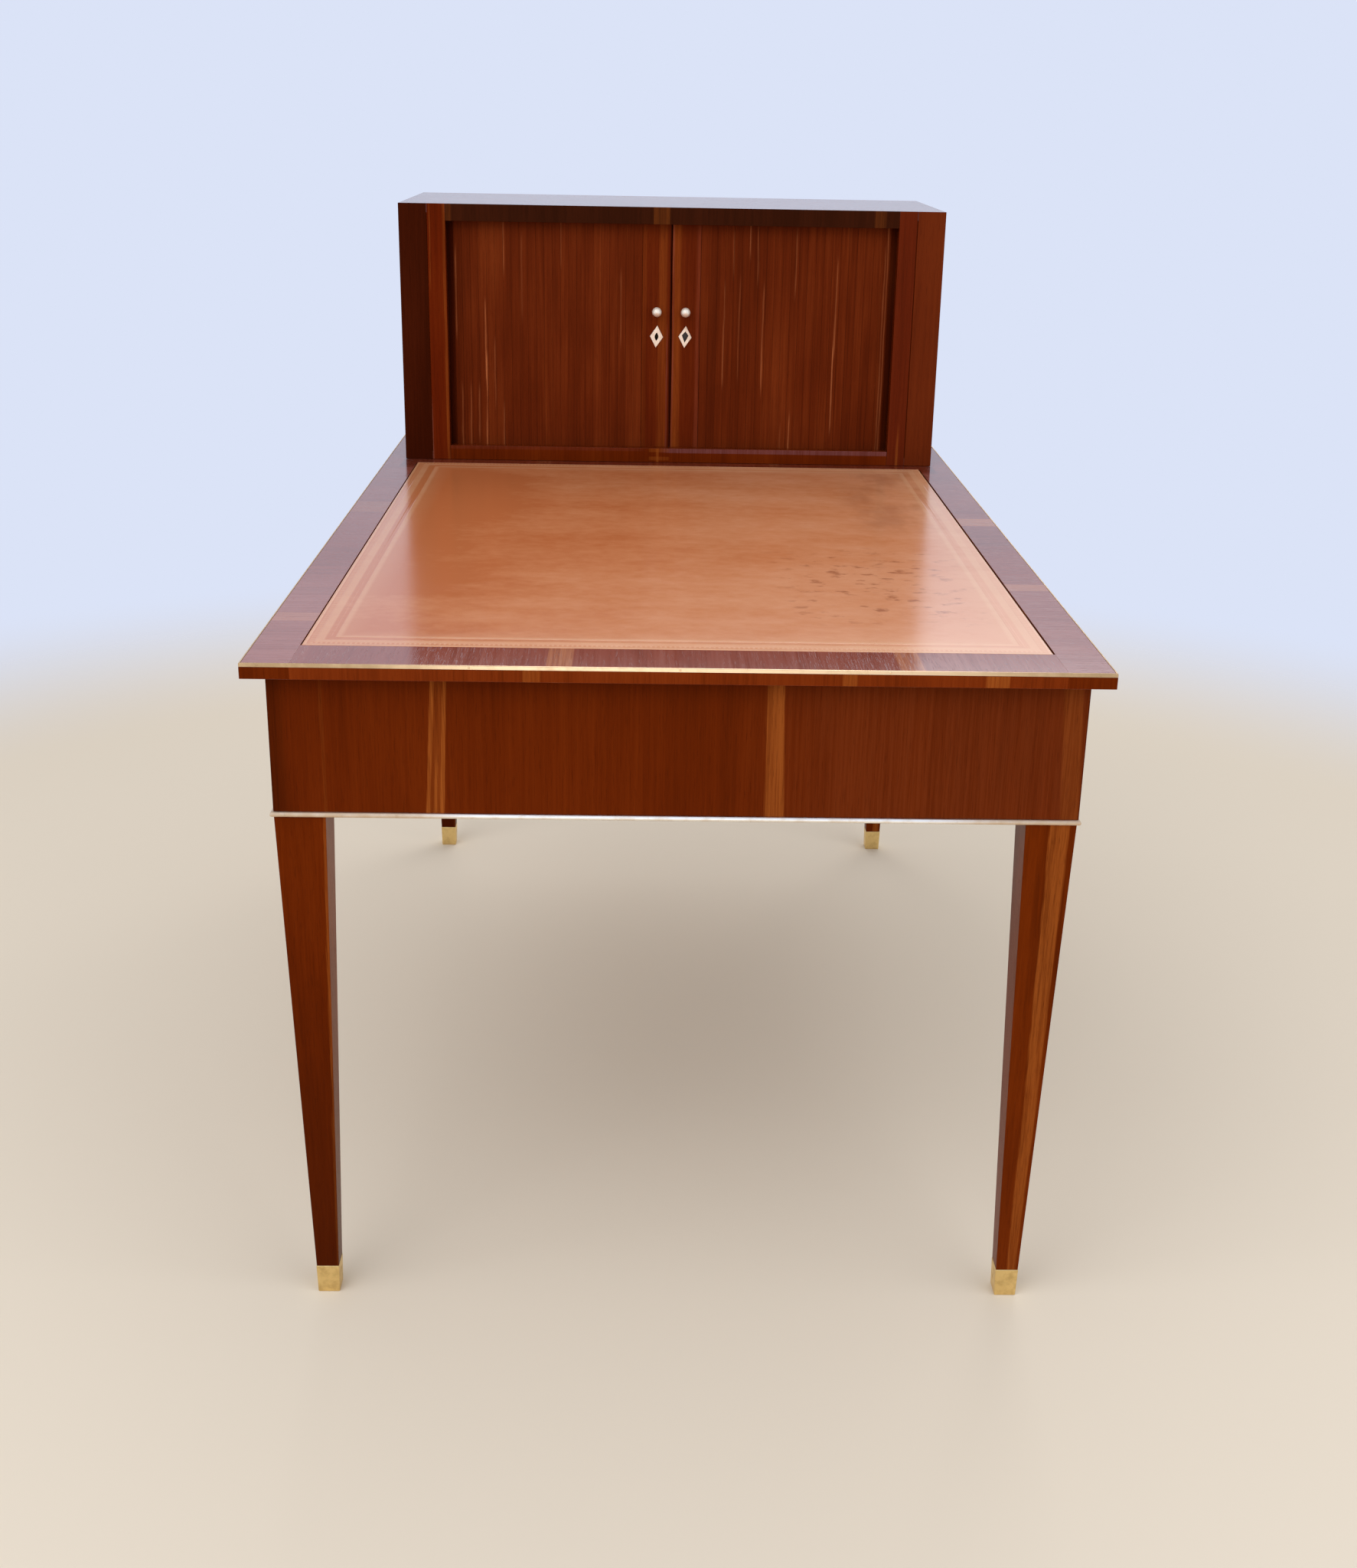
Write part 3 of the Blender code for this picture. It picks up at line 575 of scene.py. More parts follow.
@dataclass(frozen=True)
class Hide:
    """Tan desk leather with a gilt-tooled border, worn and polished by use.

    Attributes:
        name: The material's name.
        half_width: Half of its width, in X.
        near: Its near edge, in Y.
        far: Its far edge.
        tan: Places in its tone, from dark to pale, and their colours.
        worn: The colour of its marks.
        gilt: The colour of its tooling.
        marks: The rubs of papers and elbows, and the smears by the cabinet.
        painted_light_slopes: Painted light and shade: how much paler it is at the near end and by the metre
            to the right, and how much darker at the left side.
        left_shade: Where the shade of the left side starts and ends.
        pressed: Distances from the edge between which it is pressed in, and how far they fade.
        roll: Distances from the edge between which a row of beads lies, and how far they fade.
        roll_pitch: The pitch of the beads.
        tooled: The width of the tooled border.
        gilding: Distances from the edge, and how much gilding is left there.
    """

    name: str
    half_width: float
    near: float
    far: float
    tan: tuple[tuple[float, Colour], ...] = (
        (0.25, ink(190, 110, 66)), (0.48, ink(202, 128, 85)),
        (0.64, ink(209, 139, 98)), (0.85, ink(216, 151, 113)))
    worn: Colour = ink(132, 66, 36)
    gilt: Colour = ink(232, 186, 146)
    marks: tuple[Marks, Marks] = (
        Marks((38.0, 60.0, 1.0), 53.0, (0.54, 0.72), (0.17, 0.31, 0.07), (-0.52, -0.25, 0.08), 0.60),
        Marks((18.0, 9.0, 1.0), 59.0, (0.36, 0.66), (0.29, 0.35, 0.06), (-0.02, 0.34, 0.12), 0.30))
    painted_light_slopes: Point = (0.16, 0.70, -0.14)
    left_shade: Span = (-0.16, -0.34)
    pressed: tuple[Point, Point] = ((0.0045, 0.0115, 0.0006), (0.0275, 0.0310, 0.0010))
    roll: Point = (0.0070, 0.0115, 0.0010)
    roll_pitch: float = 0.0052
    tooled: float = 0.064
    gilding: tuple[Span, ...] = (
        (0.000, 0.15), (0.002, 0.50), (0.004, 0.50), (0.0055, 0.10), (0.0115, 0.10), (0.0130, 0.40),
        (0.0205, 0.40), (0.0225, 0.08), (0.0310, 0.04), (0.0325, 0.40), (0.0360, 0.40), (0.0400, 0.12),
        (0.0630, 0.0))

    def build(self) -> bpy.types.Material:
        """Makes the material.

        Returns:
            The material.
        """
        material, graph = new_material(self.name)
        place = graph.place()
        x, y, _ = graph.split(place)
        cloud = graph.noise(place, (6.0, 9.0, 1.0), 31.0, 4.0, 0.6)
        drag = graph.noise(place, (10.0, 26.0, 1.0), 37.0, 3.0, 0.6)
        mottle = graph.noise(place, (55.0, 70.0, 1.0), 43.0, 4.0, 0.65) - 0.5
        grain = graph.node("TexVoronoi", {"feature": "SMOOTH_F1"}, {"Vector": place, "Scale": 950.0})
        # Painted light and shade in the tone: paler at the near end and to the right, darker on the left
        # side.
        near, right, left = self.painted_light_slopes
        painted_light_tone = graph.step(y, 0.0, self.near) * near + x * right + graph.step(x, *self.left_shade) * left
        colour = graph.ramp(cloud * 0.75 + drag * 0.25 + mottle * 0.40 + painted_light_tone, self.tan)
        rubs, smears = (self._marks(graph, place, marks) for marks in self.marks)
        colour = graph.mix(rubs.most(smears), colour, self.worn)

        from_side = self.half_width - abs(x)
        from_end = (self.far - self.near) / 2 - abs(y - (self.far + self.near) / 2)
        edge = from_side.least(from_end)
        beside_end = graph.step(from_side - from_end, -0.0002, 0.0002)
        travel = x * beside_end + y * (1 - beside_end)
        wear = graph.noise(place, (30.0, 30.0, 1.0), 41.0, 3.0, 0.7)
        tooling = self._tooling(graph, edge, travel) * (0.62 + wear * 0.60)
        colour = graph.mix(tooling, colour, self.gilt)
        outer, inner = (graph.band(edge, *pressed) for pressed in self.pressed)
        relief = grain * -0.30 + cloud * 0.6 - outer.most(inner) * 0.8
        graph.finish(Base_Color=colour, Roughness=0.15 + drag * 0.07, Specular_IOR_Level=0.32,
                     Normal=graph.bump(relief, 0.00020, 0.5))
        return material

    def _tooling(self, graph: Graph, edge: Socket, travel: Socket) -> Socket:
        """Gives the gilding before wear: bands that follow the edge, and beads in the outer one.

        Args:
            graph: The material's graph.
            edge: The distance from the edge.
            travel: The place along the edge.

        Returns:
            How much gilding there is.
        """
        grey = tuple((spot / self.tooled, (share, share, share)) for spot, share in self.gilding)
        beads = (travel * (2 * math.pi / self.roll_pitch)).sine() * 0.5 + 0.5
        return graph.ramp(edge / self.tooled, grey) + (
            graph.step(beads, 0.35, 0.80) * graph.band(edge, *self.roll) * 0.30)

    @staticmethod
    def _marks(graph: Graph, place: Socket, marks: Marks) -> Socket:
        """Gives the marks in one area.

        Args:
            graph: The material's graph.
            place: The place on the leather.
            marks: The marks.

        Returns:
            How dark they are.
        """
        x, y, _ = graph.split(place)
        strokes = graph.step(graph.noise(place, marks.scales, marks.start, 3.0, 0.6), *marks.onset)
        return strokes * graph.band(x, *marks.across) * graph.band(y, *marks.along) * marks.strength


@dataclass(frozen=True)
class Brass:
    """Cast or rolled brass, from bright to dull and stained.

    Attributes:
        name: The material's name.
        bright: Its colour where it is rubbed clean.
        dull: Its colour under tarnish.
        roughness: Its roughness where it is clean.
        stain: How strong the tarnish is.
        rubbed: Where along X it is kept clean, or nothing for the same all over.
        fade: How far the clean length fades at its ends.
        metallic: How much of it is bare metal, the rest being old lacquer.
    """

    name: str
    bright: Colour
    dull: Colour
    roughness: float = 0.2
    stain: float = 0.4
    rubbed: Span | None = None
    fade: float = 0.10
    metallic: float = 1.0

    def build(self) -> bpy.types.Material:
        """Makes the material.

        Returns:
            The material.
        """
        material, graph = new_material(self.name)
        place = graph.place()
        cloud = graph.noise(place, (70.0, 70.0, 70.0), 61.0, 3.0, 0.6)
        scratch = graph.noise(place, (900.0, 900.0, 90.0), 67.0)
        patina = graph.step(cloud, 0.42, 0.72) * self.stain
        if self.rubbed:
            kept = graph.band(graph.split(place)[0], *self.rubbed, self.fade)
            patina = patina.most((1 - kept) * (0.45 + cloud))
        graph.finish(
            Base_Color=graph.mix(patina, self.bright, self.dull), Metallic=self.metallic,
            Roughness=self.roughness + patina * 0.25 + scratch * 0.08,
            Normal=graph.bump(cloud * 0.6 + scratch * 0.15, 0.0001))
        return material


@dataclass(frozen=True)
class Plain:
    """A small hidden surface with a little variation: cloth, iron or burnished leather.

    Attributes:
        name: The material's name.
        colour: Its colour.
        other: The colour that it varies to.
        scales: The scales of its pattern.
        roughness: Its least roughness.
        metallic: How much of it is metal.
    """

    name: str
    colour: Colour
    other: Colour
    scales: Point
    roughness: float
    metallic: float = 0.0

    def build(self) -> bpy.types.Material:
        """Makes the material.

        Returns:
            The material.
        """
        material, graph = new_material(self.name)
        pattern = graph.noise(graph.place(), self.scales, 71.0, 3.0, 0.6)
        graph.finish(Base_Color=graph.mix(pattern, self.colour, self.other), Metallic=self.metallic,
                     Roughness=self.roughness + pattern * 0.1, Normal=graph.bump(pattern, 0.0001))
        return material


# Modelling, as by hand

class Part(Enum):
    """What a selection holds."""

    VERT = "verts"
    EDGE = "edges"
    FACE = "faces"


class Slot(Enum):
    """A material slot of the record."""

    MAHOGANY = "mahogany"
    LEATHER = "leather"
    BRASS = "brass"


def level(edge: bmesh.types.BMEdge, height: float) -> bool:
    """Says whether an edge lies at a height."""
    return all(abs(vert.co.z - height) < NEAR_ENOUGH for vert in edge.verts)


def run(edge: bmesh.types.BMEdge, axis: Axis) -> float:
    """Gives how far an edge runs along an axis."""
    first, second = (vert.co[axis.value] for vert in edge.verts)
    return abs(first - second)


def outermost(edge: bmesh.types.BMEdge, half: Vector) -> bool:
    """Says whether an edge lies on the outside of a ring with these half sizes."""
    return all(abs(vert.co.x) > half.x - NEAR_ENOUGH or abs(vert.co.y) > half.y - NEAR_ENOUGH
               for vert in edge.verts)


def looks_down(face: bmesh.types.BMFace) -> bool:
    """Says whether a face looks straight down."""
    return face.normal.z < -FLAT


def looks_up(face: bmesh.types.BMFace) -> bool:
    """Says whether a face looks straight up."""
    return face.normal.z > FLAT


class Bench:
    """Makes pieces with the edit-mode operators."""

    @staticmethod
    def take(*pieces: bpy.types.Object) -> None:
        """Selects pieces and nothing else, and makes the first one active.

        Args:
            *pieces: The pieces, or none to select nothing.
        """
        bpy.ops.object.select_all(action="DESELECT")
        for piece in pieces:
            piece.select_set(True)
        if pieces:
            bpy.context.view_layer.objects.active = pieces[0]

    @staticmethod
    def settle(name: str, scale: Sequence[float] = (1.0, 1.0, 1.0)) -> bpy.types.Object:
        """Names the active piece and its mesh, and sets its place and scale into its mesh.

        Args:
            name: The piece's name.
            scale: Its scale.

        Returns:
            The piece.
        """
        piece = bpy.context.object
        piece.name = name
        piece.data.name = name
        piece.scale = scale
        bpy.ops.object.transform_apply(location=True, rotation=True, scale=True)
        return piece

    @staticmethod
    def move(piece: bpy.types.Object, place: Sequence[float], turn: Sequence[float]) -> None:
        """Turns and moves a piece that stands at the origin, and sets that into its mesh.

        Args:
            piece: The piece.
            place: Where the origin goes to.
            turn: Its turns about X, Y and Z.
        """
        Bench.take(piece)
        piece.rotation_euler = turn
        piece.location = place
        bpy.ops.object.transform_apply(location=True, rotation=True, scale=True)

    @staticmethod
    @contextmanager
    def editing(piece: bpy.types.Object) -> Iterator[None]:
        """Opens a piece alone in edit mode.

        Args:
            piece: The piece.

        Yields:
            Nothing, while the piece is open.
        """
        Bench.take(piece)
        bpy.ops.object.mode_set(mode="EDIT")
        yield
        bpy.ops.object.mode_set(mode="OBJECT")

    @staticmethod
    def pick_all() -> None:
        """Selects everything, in edit mode."""
        bpy.ops.mesh.select_all(action="SELECT")

    @staticmethod
    def pick(kind: Part, test: Callable[[object], bool]) -> None:
        """Selects what passes a test, in edit mode, and nothing else.

        Args:
            kind: Whether points, edges or faces are picked.
            test: Takes one of them and says whether it is wanted.
        """
        bpy.ops.mesh.select_mode(type=kind.name)
        bpy.ops.mesh.select_all(action="DESELECT")
        data = bpy.context.edit_object.data
        shape = bmesh.from_edit_mesh(data)
        shape.normal_update()
        for item in getattr(shape, kind.value):
            item.select_set(test(item))
        shape.select_flush_mode()
        bmesh.update_edit_mesh(data)

    @staticmethod
    def cut(axis: Axis, place: float) -> None:
        """Cuts all faces along a plane square to an axis, in edit mode."""
        Bench.pick_all()
        bpy.ops.mesh.bisect(plane_co=axis.stretch(place, 0.0), plane_no=axis.stretch(1.0, 0.0))

    @staticmethod
    def extrude(move: Sequence[float]) -> None:
        """Extrudes the selected faces, in edit mode."""
        bpy.ops.mesh.extrude_region_move(TRANSFORM_OT_translate={"value": move, "orient_type": "GLOBAL"})

    @staticmethod
    def resize(share: float, centre: Sequence[float]) -> None:
        """Resizes what is selected in X and Y about a point, in edit mode."""
        bpy.ops.transform.resize(value=(share, share, 1.0), center_override=centre)

    @staticmethod
    def round_edges(test: Callable[[bmesh.types.BMEdge], bool], width: float, segments: int = 3) -> None:
        """Rounds the sharp edges that pass a test, in edit mode."""
        Bench.pick(Part.EDGE, lambda edge: edge.calc_face_angle(0.0) > SHARP and test(edge))
        bpy.ops.mesh.bevel(offset=width, segments=segments, affect="EDGES")

    @staticmethod
    def box(name: str, low: Sequence[float], high: Sequence[float]) -> bpy.types.Object:
        """Adds a box.

        Args:
            name: The piece's name.
            low: Its lowest corner.
            high: Its highest corner.

        Returns:
            The piece.
        """
        low, high = Vector(low), Vector(high)
        Bench.take()
        bpy.ops.mesh.primitive_cube_add(size=1.0, location=(low + high) / 2)
        return Bench.settle(name, high - low)

    @staticmethod
    def board(name: str, low: Sequence[float], high: Sequence[float], arris: float) -> bpy.types.Object:
        """Adds a board with all its arrises rounded.

        Args:
            name: The piece's name.
            low: Its lowest corner.
            high: Its highest corner.
            arris: The width of the rounding.

        Returns:
            The piece.
        """
        piece = Bench.box(name, low, high)
        with Bench.editing(piece):
            Bench.round_edges(lambda edge: True, arris)
        return piece

    @staticmethod
    def ring(name: str, half: Vector, width: float, low: float) -> bpy.types.Object:
        """Adds a flat rectangular ring about the desk's middle.

        Args:
            name: The piece's name.
            half: Its outer half sizes in X and Y, and its upper side.
            width: Its width on plan.
            low: Its underside.

        Returns:
            The piece.
        """
        Bench.take()
        bpy.ops.mesh.primitive_plane_add(size=2.0, location=(0.0, 0.0, low))
        piece = Bench.settle(name, (half.x, half.y, 1.0))
        with Bench.editing(piece):
            Bench.pick_all()
            bpy.ops.mesh.inset(thickness=width)
            bpy.ops.mesh.delete(type="FACE")
            Bench.pick_all()
            Bench.extrude((0.0, 0.0, half.z - low))
            Bench.pick_all()
            bpy.ops.mesh.normals_make_consistent(inside=False)
        return piece

    @staticmethod
    def lathe(name: str, profile: Sequence[Span], steps: int = 48) -> bpy.types.Object:
        """Turns a profile about Z at the origin.

        Args:
            name: The piece's name.
            profile: Radii and heights.
            steps: Sides of the turned piece.

        Returns:
            The piece.
        """
        Bench.take()
        bpy.ops.mesh.primitive_plane_add(size=1.0)
        piece = Bench.settle(name)
        places = [Vector((radius, 0.0, height)) for radius, height in profile]
        with Bench.editing(piece):
            bpy.ops.mesh.select_mode(type=Part.VERT.name)
            Bench.pick_all()
            bpy.ops.mesh.merge(type="CENTER")
            bpy.ops.transform.translate(value=places[0])
            for last, place in zip(places, places[1:]):
                bpy.ops.mesh.extrude_vertices_move(
                    TRANSFORM_OT_translate={"value": place - last, "orient_type": "GLOBAL"})
            Bench.pick_all()
            bpy.ops.mesh.spin(steps=steps, angle=2 * math.pi, center=ORIGIN, axis=(0.0, 0.0, 1.0))
            Bench.pick_all()
            bpy.ops.mesh.remove_doubles(threshold=1e-6)
            bpy.ops.mesh.normals_make_consistent(inside=False)
        return piece

    @staticmethod
    def carve(piece: bpy.types.Object, cutter: bpy.types.Object) -> None:
        """Cuts one piece out of another, and removes the cutter."""
        Bench.modify(piece, "BOOLEAN", object=cutter, operation="DIFFERENCE", solver="EXACT")
        bpy.data.objects.remove(cutter, do_unlink=True)

    @staticmethod
    def modify(piece: bpy.types.Object, kind: str, **settings: object) -> None:
        """Gives a piece a modifier, and applies it.

        Args:
            piece: The piece.
            kind: The modifier's type.
            **settings: Its settings.
        """
        Bench.take(piece)
        modifier = piece.modifiers.new(kind, kind)
        for key, value in settings.items():
            setattr(modifier, key, value)
        bpy.ops.object.modifier_apply(modifier=modifier.name)

    @staticmethod
    def join(name: str, *pieces: bpy.types.Object) -> bpy.types.Object:
        """Joins pieces into one.

        Args:
            name: The name of the whole.
            *pieces: The pieces.

        Returns:
            The whole.
        """
        Bench.take(*pieces)
        bpy.ops.object.join()
        return Bench.settle(name)

    @staticmethod
    def hand_over(piece: bpy.types.Object, slot: Slot, *materials: bpy.types.Material, node: str = "",
                  body: str = DESK, choose: Callable[[bpy.types.MeshPolygon], int] | None = None) -> None:
        """Shades and dresses a finished piece, and puts it on its body.

        Args:
            piece: The finished piece.
            slot: The record's material slot; it is not used.
            *materials: Its materials.
            node: The solid that it stands for, if any.
            body: The body that it moves with.
            choose: Says which material a face takes, where there is more than one.
        """
        Bench.take(piece)
        bpy.ops.object.shade_smooth_by_angle(angle=SMOOTH_ANGLE)
        Bench.modify(piece, "WEIGHTED_NORMAL", keep_sharp=True)
        piece.data.materials.clear()
        for material in materials:
            piece.data.materials.append(material)
        if choose:
            for face in piece.data.polygons:
                face.material_index = choose(face)
        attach(piece, body)
        if node:
            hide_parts(node)
        LOG.info("%s: %d faces on %s", piece.name, len(piece.data.polygons), body)


def repaint(material: bpy.types.Material, *nodes: str) -> None:
    """Gives solids that stay a better material."""
    for name in nodes:
        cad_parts[name].material_slots[0].material = material


# Sub-assemblies

@dataclass(frozen=True)
class Pin:
    """A small domed pin head.

    Attributes:
        radius: Its radius.
        dome: How far it stands proud.
        shank: How far it reaches into its seat.
        sides: Its sides.
        shape: Shares of the radius and of the dome along its profile.
    """

    radius: float
    dome: float = 0.0004
    shank: float = 0.0008
    sides: int = 12
    shape: tuple[Span, ...] = ((0.0, 1.0), (0.5, 0.75), (0.85, 0.25), (1.0, -0.5))

    def build(self, spot: Point, turn: Point) -> bpy.types.Object:
        """Turns the pin on a face.

        Args:
            spot: The middle of its seat.
            turn: Turns its axis from +Z to where it faces.

        Returns:
            The pin.
        """
        profile = [(self.radius * out, self.dome * up) for out, up in self.shape]
        pin = Bench.lathe("pin", [*profile, (self.radius, -self.shank), (0.0, -self.shank)], self.sides)
        Bench.move(pin, spot, turn)
        return pin


@dataclass
class DeskTop:
    """The framed top: border boards, leather and the brass strip let into the upper edge.

    Attributes:
        strip_width: The width of the brass strip.
        seat: The play between the strip and its rebate.
        arris: The rounding of the boards.
        strip_round: The rounding of the strip.
        butt_reach: How far the end boards reach past their joints with the side boards.
        pin: The strip's pins.
        pin_spacing: How far apart they are.
        leather_round: The rounding of the leather's edge.
        left_gap: How far the leather has shrunk from the left border.
        right_gap: How far it has shrunk from the right border.
        slope: How far a face of a board turns up or down before it takes the top's veneer.
        leather_slope: The same for the leather.
        half: The outer half sizes of the strip, and its upper side.
        strip_low: The underside of the strip.
    """

    strip_width: float = 0.0016
    seat: float = 0.0003
    arris: float = 0.0004
    strip_round: float = 0.0009
    butt_reach: float = 0.00024
    pin: Pin = Pin(0.0014)
    pin_spacing: float = 0.2157
    leather_round: float = 0.0006
    left_gap: float = 0.0009
    right_gap: float = 0.0018
    slope: float = 0.7
    leather_slope: float = 0.2
    half: Vector = field(default_factory=lambda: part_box("top_brass_edge")[1])
    strip_low: float = field(default_factory=lambda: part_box("top_brass_edge")[0].z)

    def build(self) -> None:
        """Builds the top."""
        # The dark tone on the far border in front of the cabinet, and on the side borders beside it, is
        # painted contact shade.
        painted_contact_shade, painted_pale_sheen = ink(84, 26, 8), ink(178, 128, 124)
        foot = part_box("cabinet_bottom")[0].y
        inner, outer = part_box("leather_top")[1].x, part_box("cabinet_bottom")[1].x
        edge = Veneer("edge_veneer", Axis.Z, Axis.X, (
            Strip(0.1680, 0.1810, 0.5), Strip(0.3156, 0.3376, 0.7), Strip(-0.1602, -0.1446, 0.4),
            Strip(-0.460, -0.440, 0.8, soft=0.010, tone=ink(44, 12, 8)),
            Strip(0.430, 0.460, 0.6, soft=0.020, tone=ink(58, 20, 8)),
        ), shift=5.0, tones=Tones.of((62, 17, 2), (112, 42, 10), (130, 55, 18))).build()
        side_edge = Veneer("side_edge_veneer", Axis.Z, Axis.Y, (
            Strip(-0.52, -0.50), Strip(-0.11, -0.09), Strip(0.33, 0.345)), shift=9.0).build()
        self.border("near", Axis.X, edge, Strip(-0.1361, -0.1123), Strip(0.2268, 0.2503))
        self.border("far", Axis.X, edge, Strip(-0.21, -0.19), Strip(0.16, 0.175),
                    Strip(-0.45, 0.45, 0.9, reach=(0.0, foot), tone=painted_contact_shade))
        # The pale pinkish strips at the near ends of the side borders are a painted reflection of the pale
        # surroundings.
        self.border("left", Axis.Y, side_edge, Strip(-0.583, -0.551), Strip(-0.0085, 0.058, 0.35),
                    Strip(-0.80, -0.50, 0.40, soft=0.25, tone=painted_pale_sheen),
                    Strip(0.350, foot, 0.95, soft=0.03, reach=(-outer, -inner), tone=painted_contact_shade))
        self.border("right", Axis.Y, side_edge, Strip(-0.409, -0.379), Strip(-0.047, -0.0015),
                    Strip(-0.80, -0.50, 0.25, soft=0.25, tone=painted_pale_sheen),
                    Strip(0.350, foot, 0.95, soft=0.03, reach=(inner, outer), tone=painted_contact_shade))
        self.leather()
        self.strip()
        repaint(Oak("panel_oak", Axis.Y).build(), "top_panel")

    def border(self, place: str, length: Axis, edge: bpy.types.Material, *strips: Strip) -> None:
        """Builds a cross-banded border board with a rebate for the brass strip.

        Args:
            place: Which border it is.
            length: The direction of its length, its grain being square to that.
            edge: The veneer on its outer edge.
            *strips: The strips of another tone in its veneer.
        """
        node = "top_border_" + place
        low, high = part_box(node)
        butts = length is Axis.X
        if butts:
            low.x -= self.butt_reach
            high.x += self.butt_reach
        ledge = self.strip_low - self.seat
        rebate = [self.half[i] - self.strip_width - self.seat for i in range(2)]
        board = Bench.box(place + "_border", low, (high.x, high.y, ledge))
        with Bench.editing(board):
            for i in range(2):
                for reach, sign in ((-low[i], -1), (high[i], 1)):
                    if abs(reach - self.half[i]) < NEAR_ENOUGH:
                        Bench.cut(Axis(i), sign * rebate[i])
            Bench.pick(Part.FACE, lambda face: looks_up(face) and all(
                abs(face.calc_center_median()[i]) < rebate[i] for i in range(2)))
            Bench.extrude((0.0, 0.0, high.z - ledge))
            Bench.round_edges(lambda line: level(line, high.z) and not (
                butts and run(line, Axis.X) < NEAR_ENOUGH), self.arris)
            Bench.round_edges(lambda line: level(line, low.z), self.arris)
        face = Veneer(place + "_border_veneer", Axis.Y if butts else Axis.X, length, strips, Gloss.MIRROR,
                      Tones.of((104, 50, 40), (134, 68, 54), (150, 82, 66), (180, 116, 80)),
                      float(len(place)), fade=0.004).build()
        Bench.hand_over(board, Slot.MAHOGANY, face, edge, node=node,
                        choose=lambda polygon: 0 if abs(polygon.normal.z) > self.slope else 1)

    def leather(self) -> None:
        """Builds the leather, which has shrunk a little from the borders at its sides."""
        low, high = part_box("leather_top")
        sheet = Bench.box("writing_leather", low + Vector((self.left_gap, 0.0, 0.0)),
                          high - Vector((self.right_gap, 0.0, 0.0)))
        with Bench.editing(sheet):
            Bench.round_edges(lambda edge: level(edge, high.z), self.leather_round, 4)
        hide = Hide("tooled_leather", high.x, low.y, high.y).build()
        rim = Plain("burnished_leather", ink(52, 22, 14), ink(82, 40, 24), (300.0, 300.0, 300.0), 0.45)
        Bench.hand_over(sheet, Slot.LEATHER, hide, rim.build(), node="leather_top",
                        choose=lambda polygon: 0 if polygon.normal.z > self.leather_slope else 1)

    def strip(self) -> None:
        """Builds the brass strip round the upper edge, and the pins that hold it."""
        brass = Brass("edge_brass", ink(255, 216, 166), ink(204, 170, 124), 0.26, 0.3, (-0.16, 0.20),
                      0.22).build()
        ring = Bench.ring("edge_strip", self.half, self.strip_width, self.strip_low)
        with Bench.editing(ring):
            Bench.round_edges(lambda edge: level(edge, self.half.z) and outermost(edge, self.half),
                              self.strip_round, 4)
        Bench.hand_over(ring, Slot.BRASS, brass, node="top_brass_edge")
        pins = [self.pin.build(spot, turn) for spot, turn in self.pin_places()]
        Bench.hand_over(Bench.join("edge_strip_pins", *pins), Slot.BRASS, brass)

    def pin_places(self) -> Iterator[tuple[Point, Point]]:
        """Gives the places of the pins, evenly along all four sides.

        Yields:
            The place and the turn of each pin.
        """
        height = (self.strip_low + self.half.z) / 2
        for along, across in ((0, 1), (1, 0)):
            count = int(self.half[along] / self.pin_spacing)
            for number in range(-count, count + 1):
                for sign in (-1, 1):
                    spot = [0.0, 0.0, height]
                    spot[along] = number * self.pin_spacing
                    spot[across] = sign * self.half[across]
                    turn = (0.0, sign * QUARTER_TURN, 0.0) if along else (-sign * QUARTER_TURN, 0.0, 0.0)
                    yield tuple(spot), turn


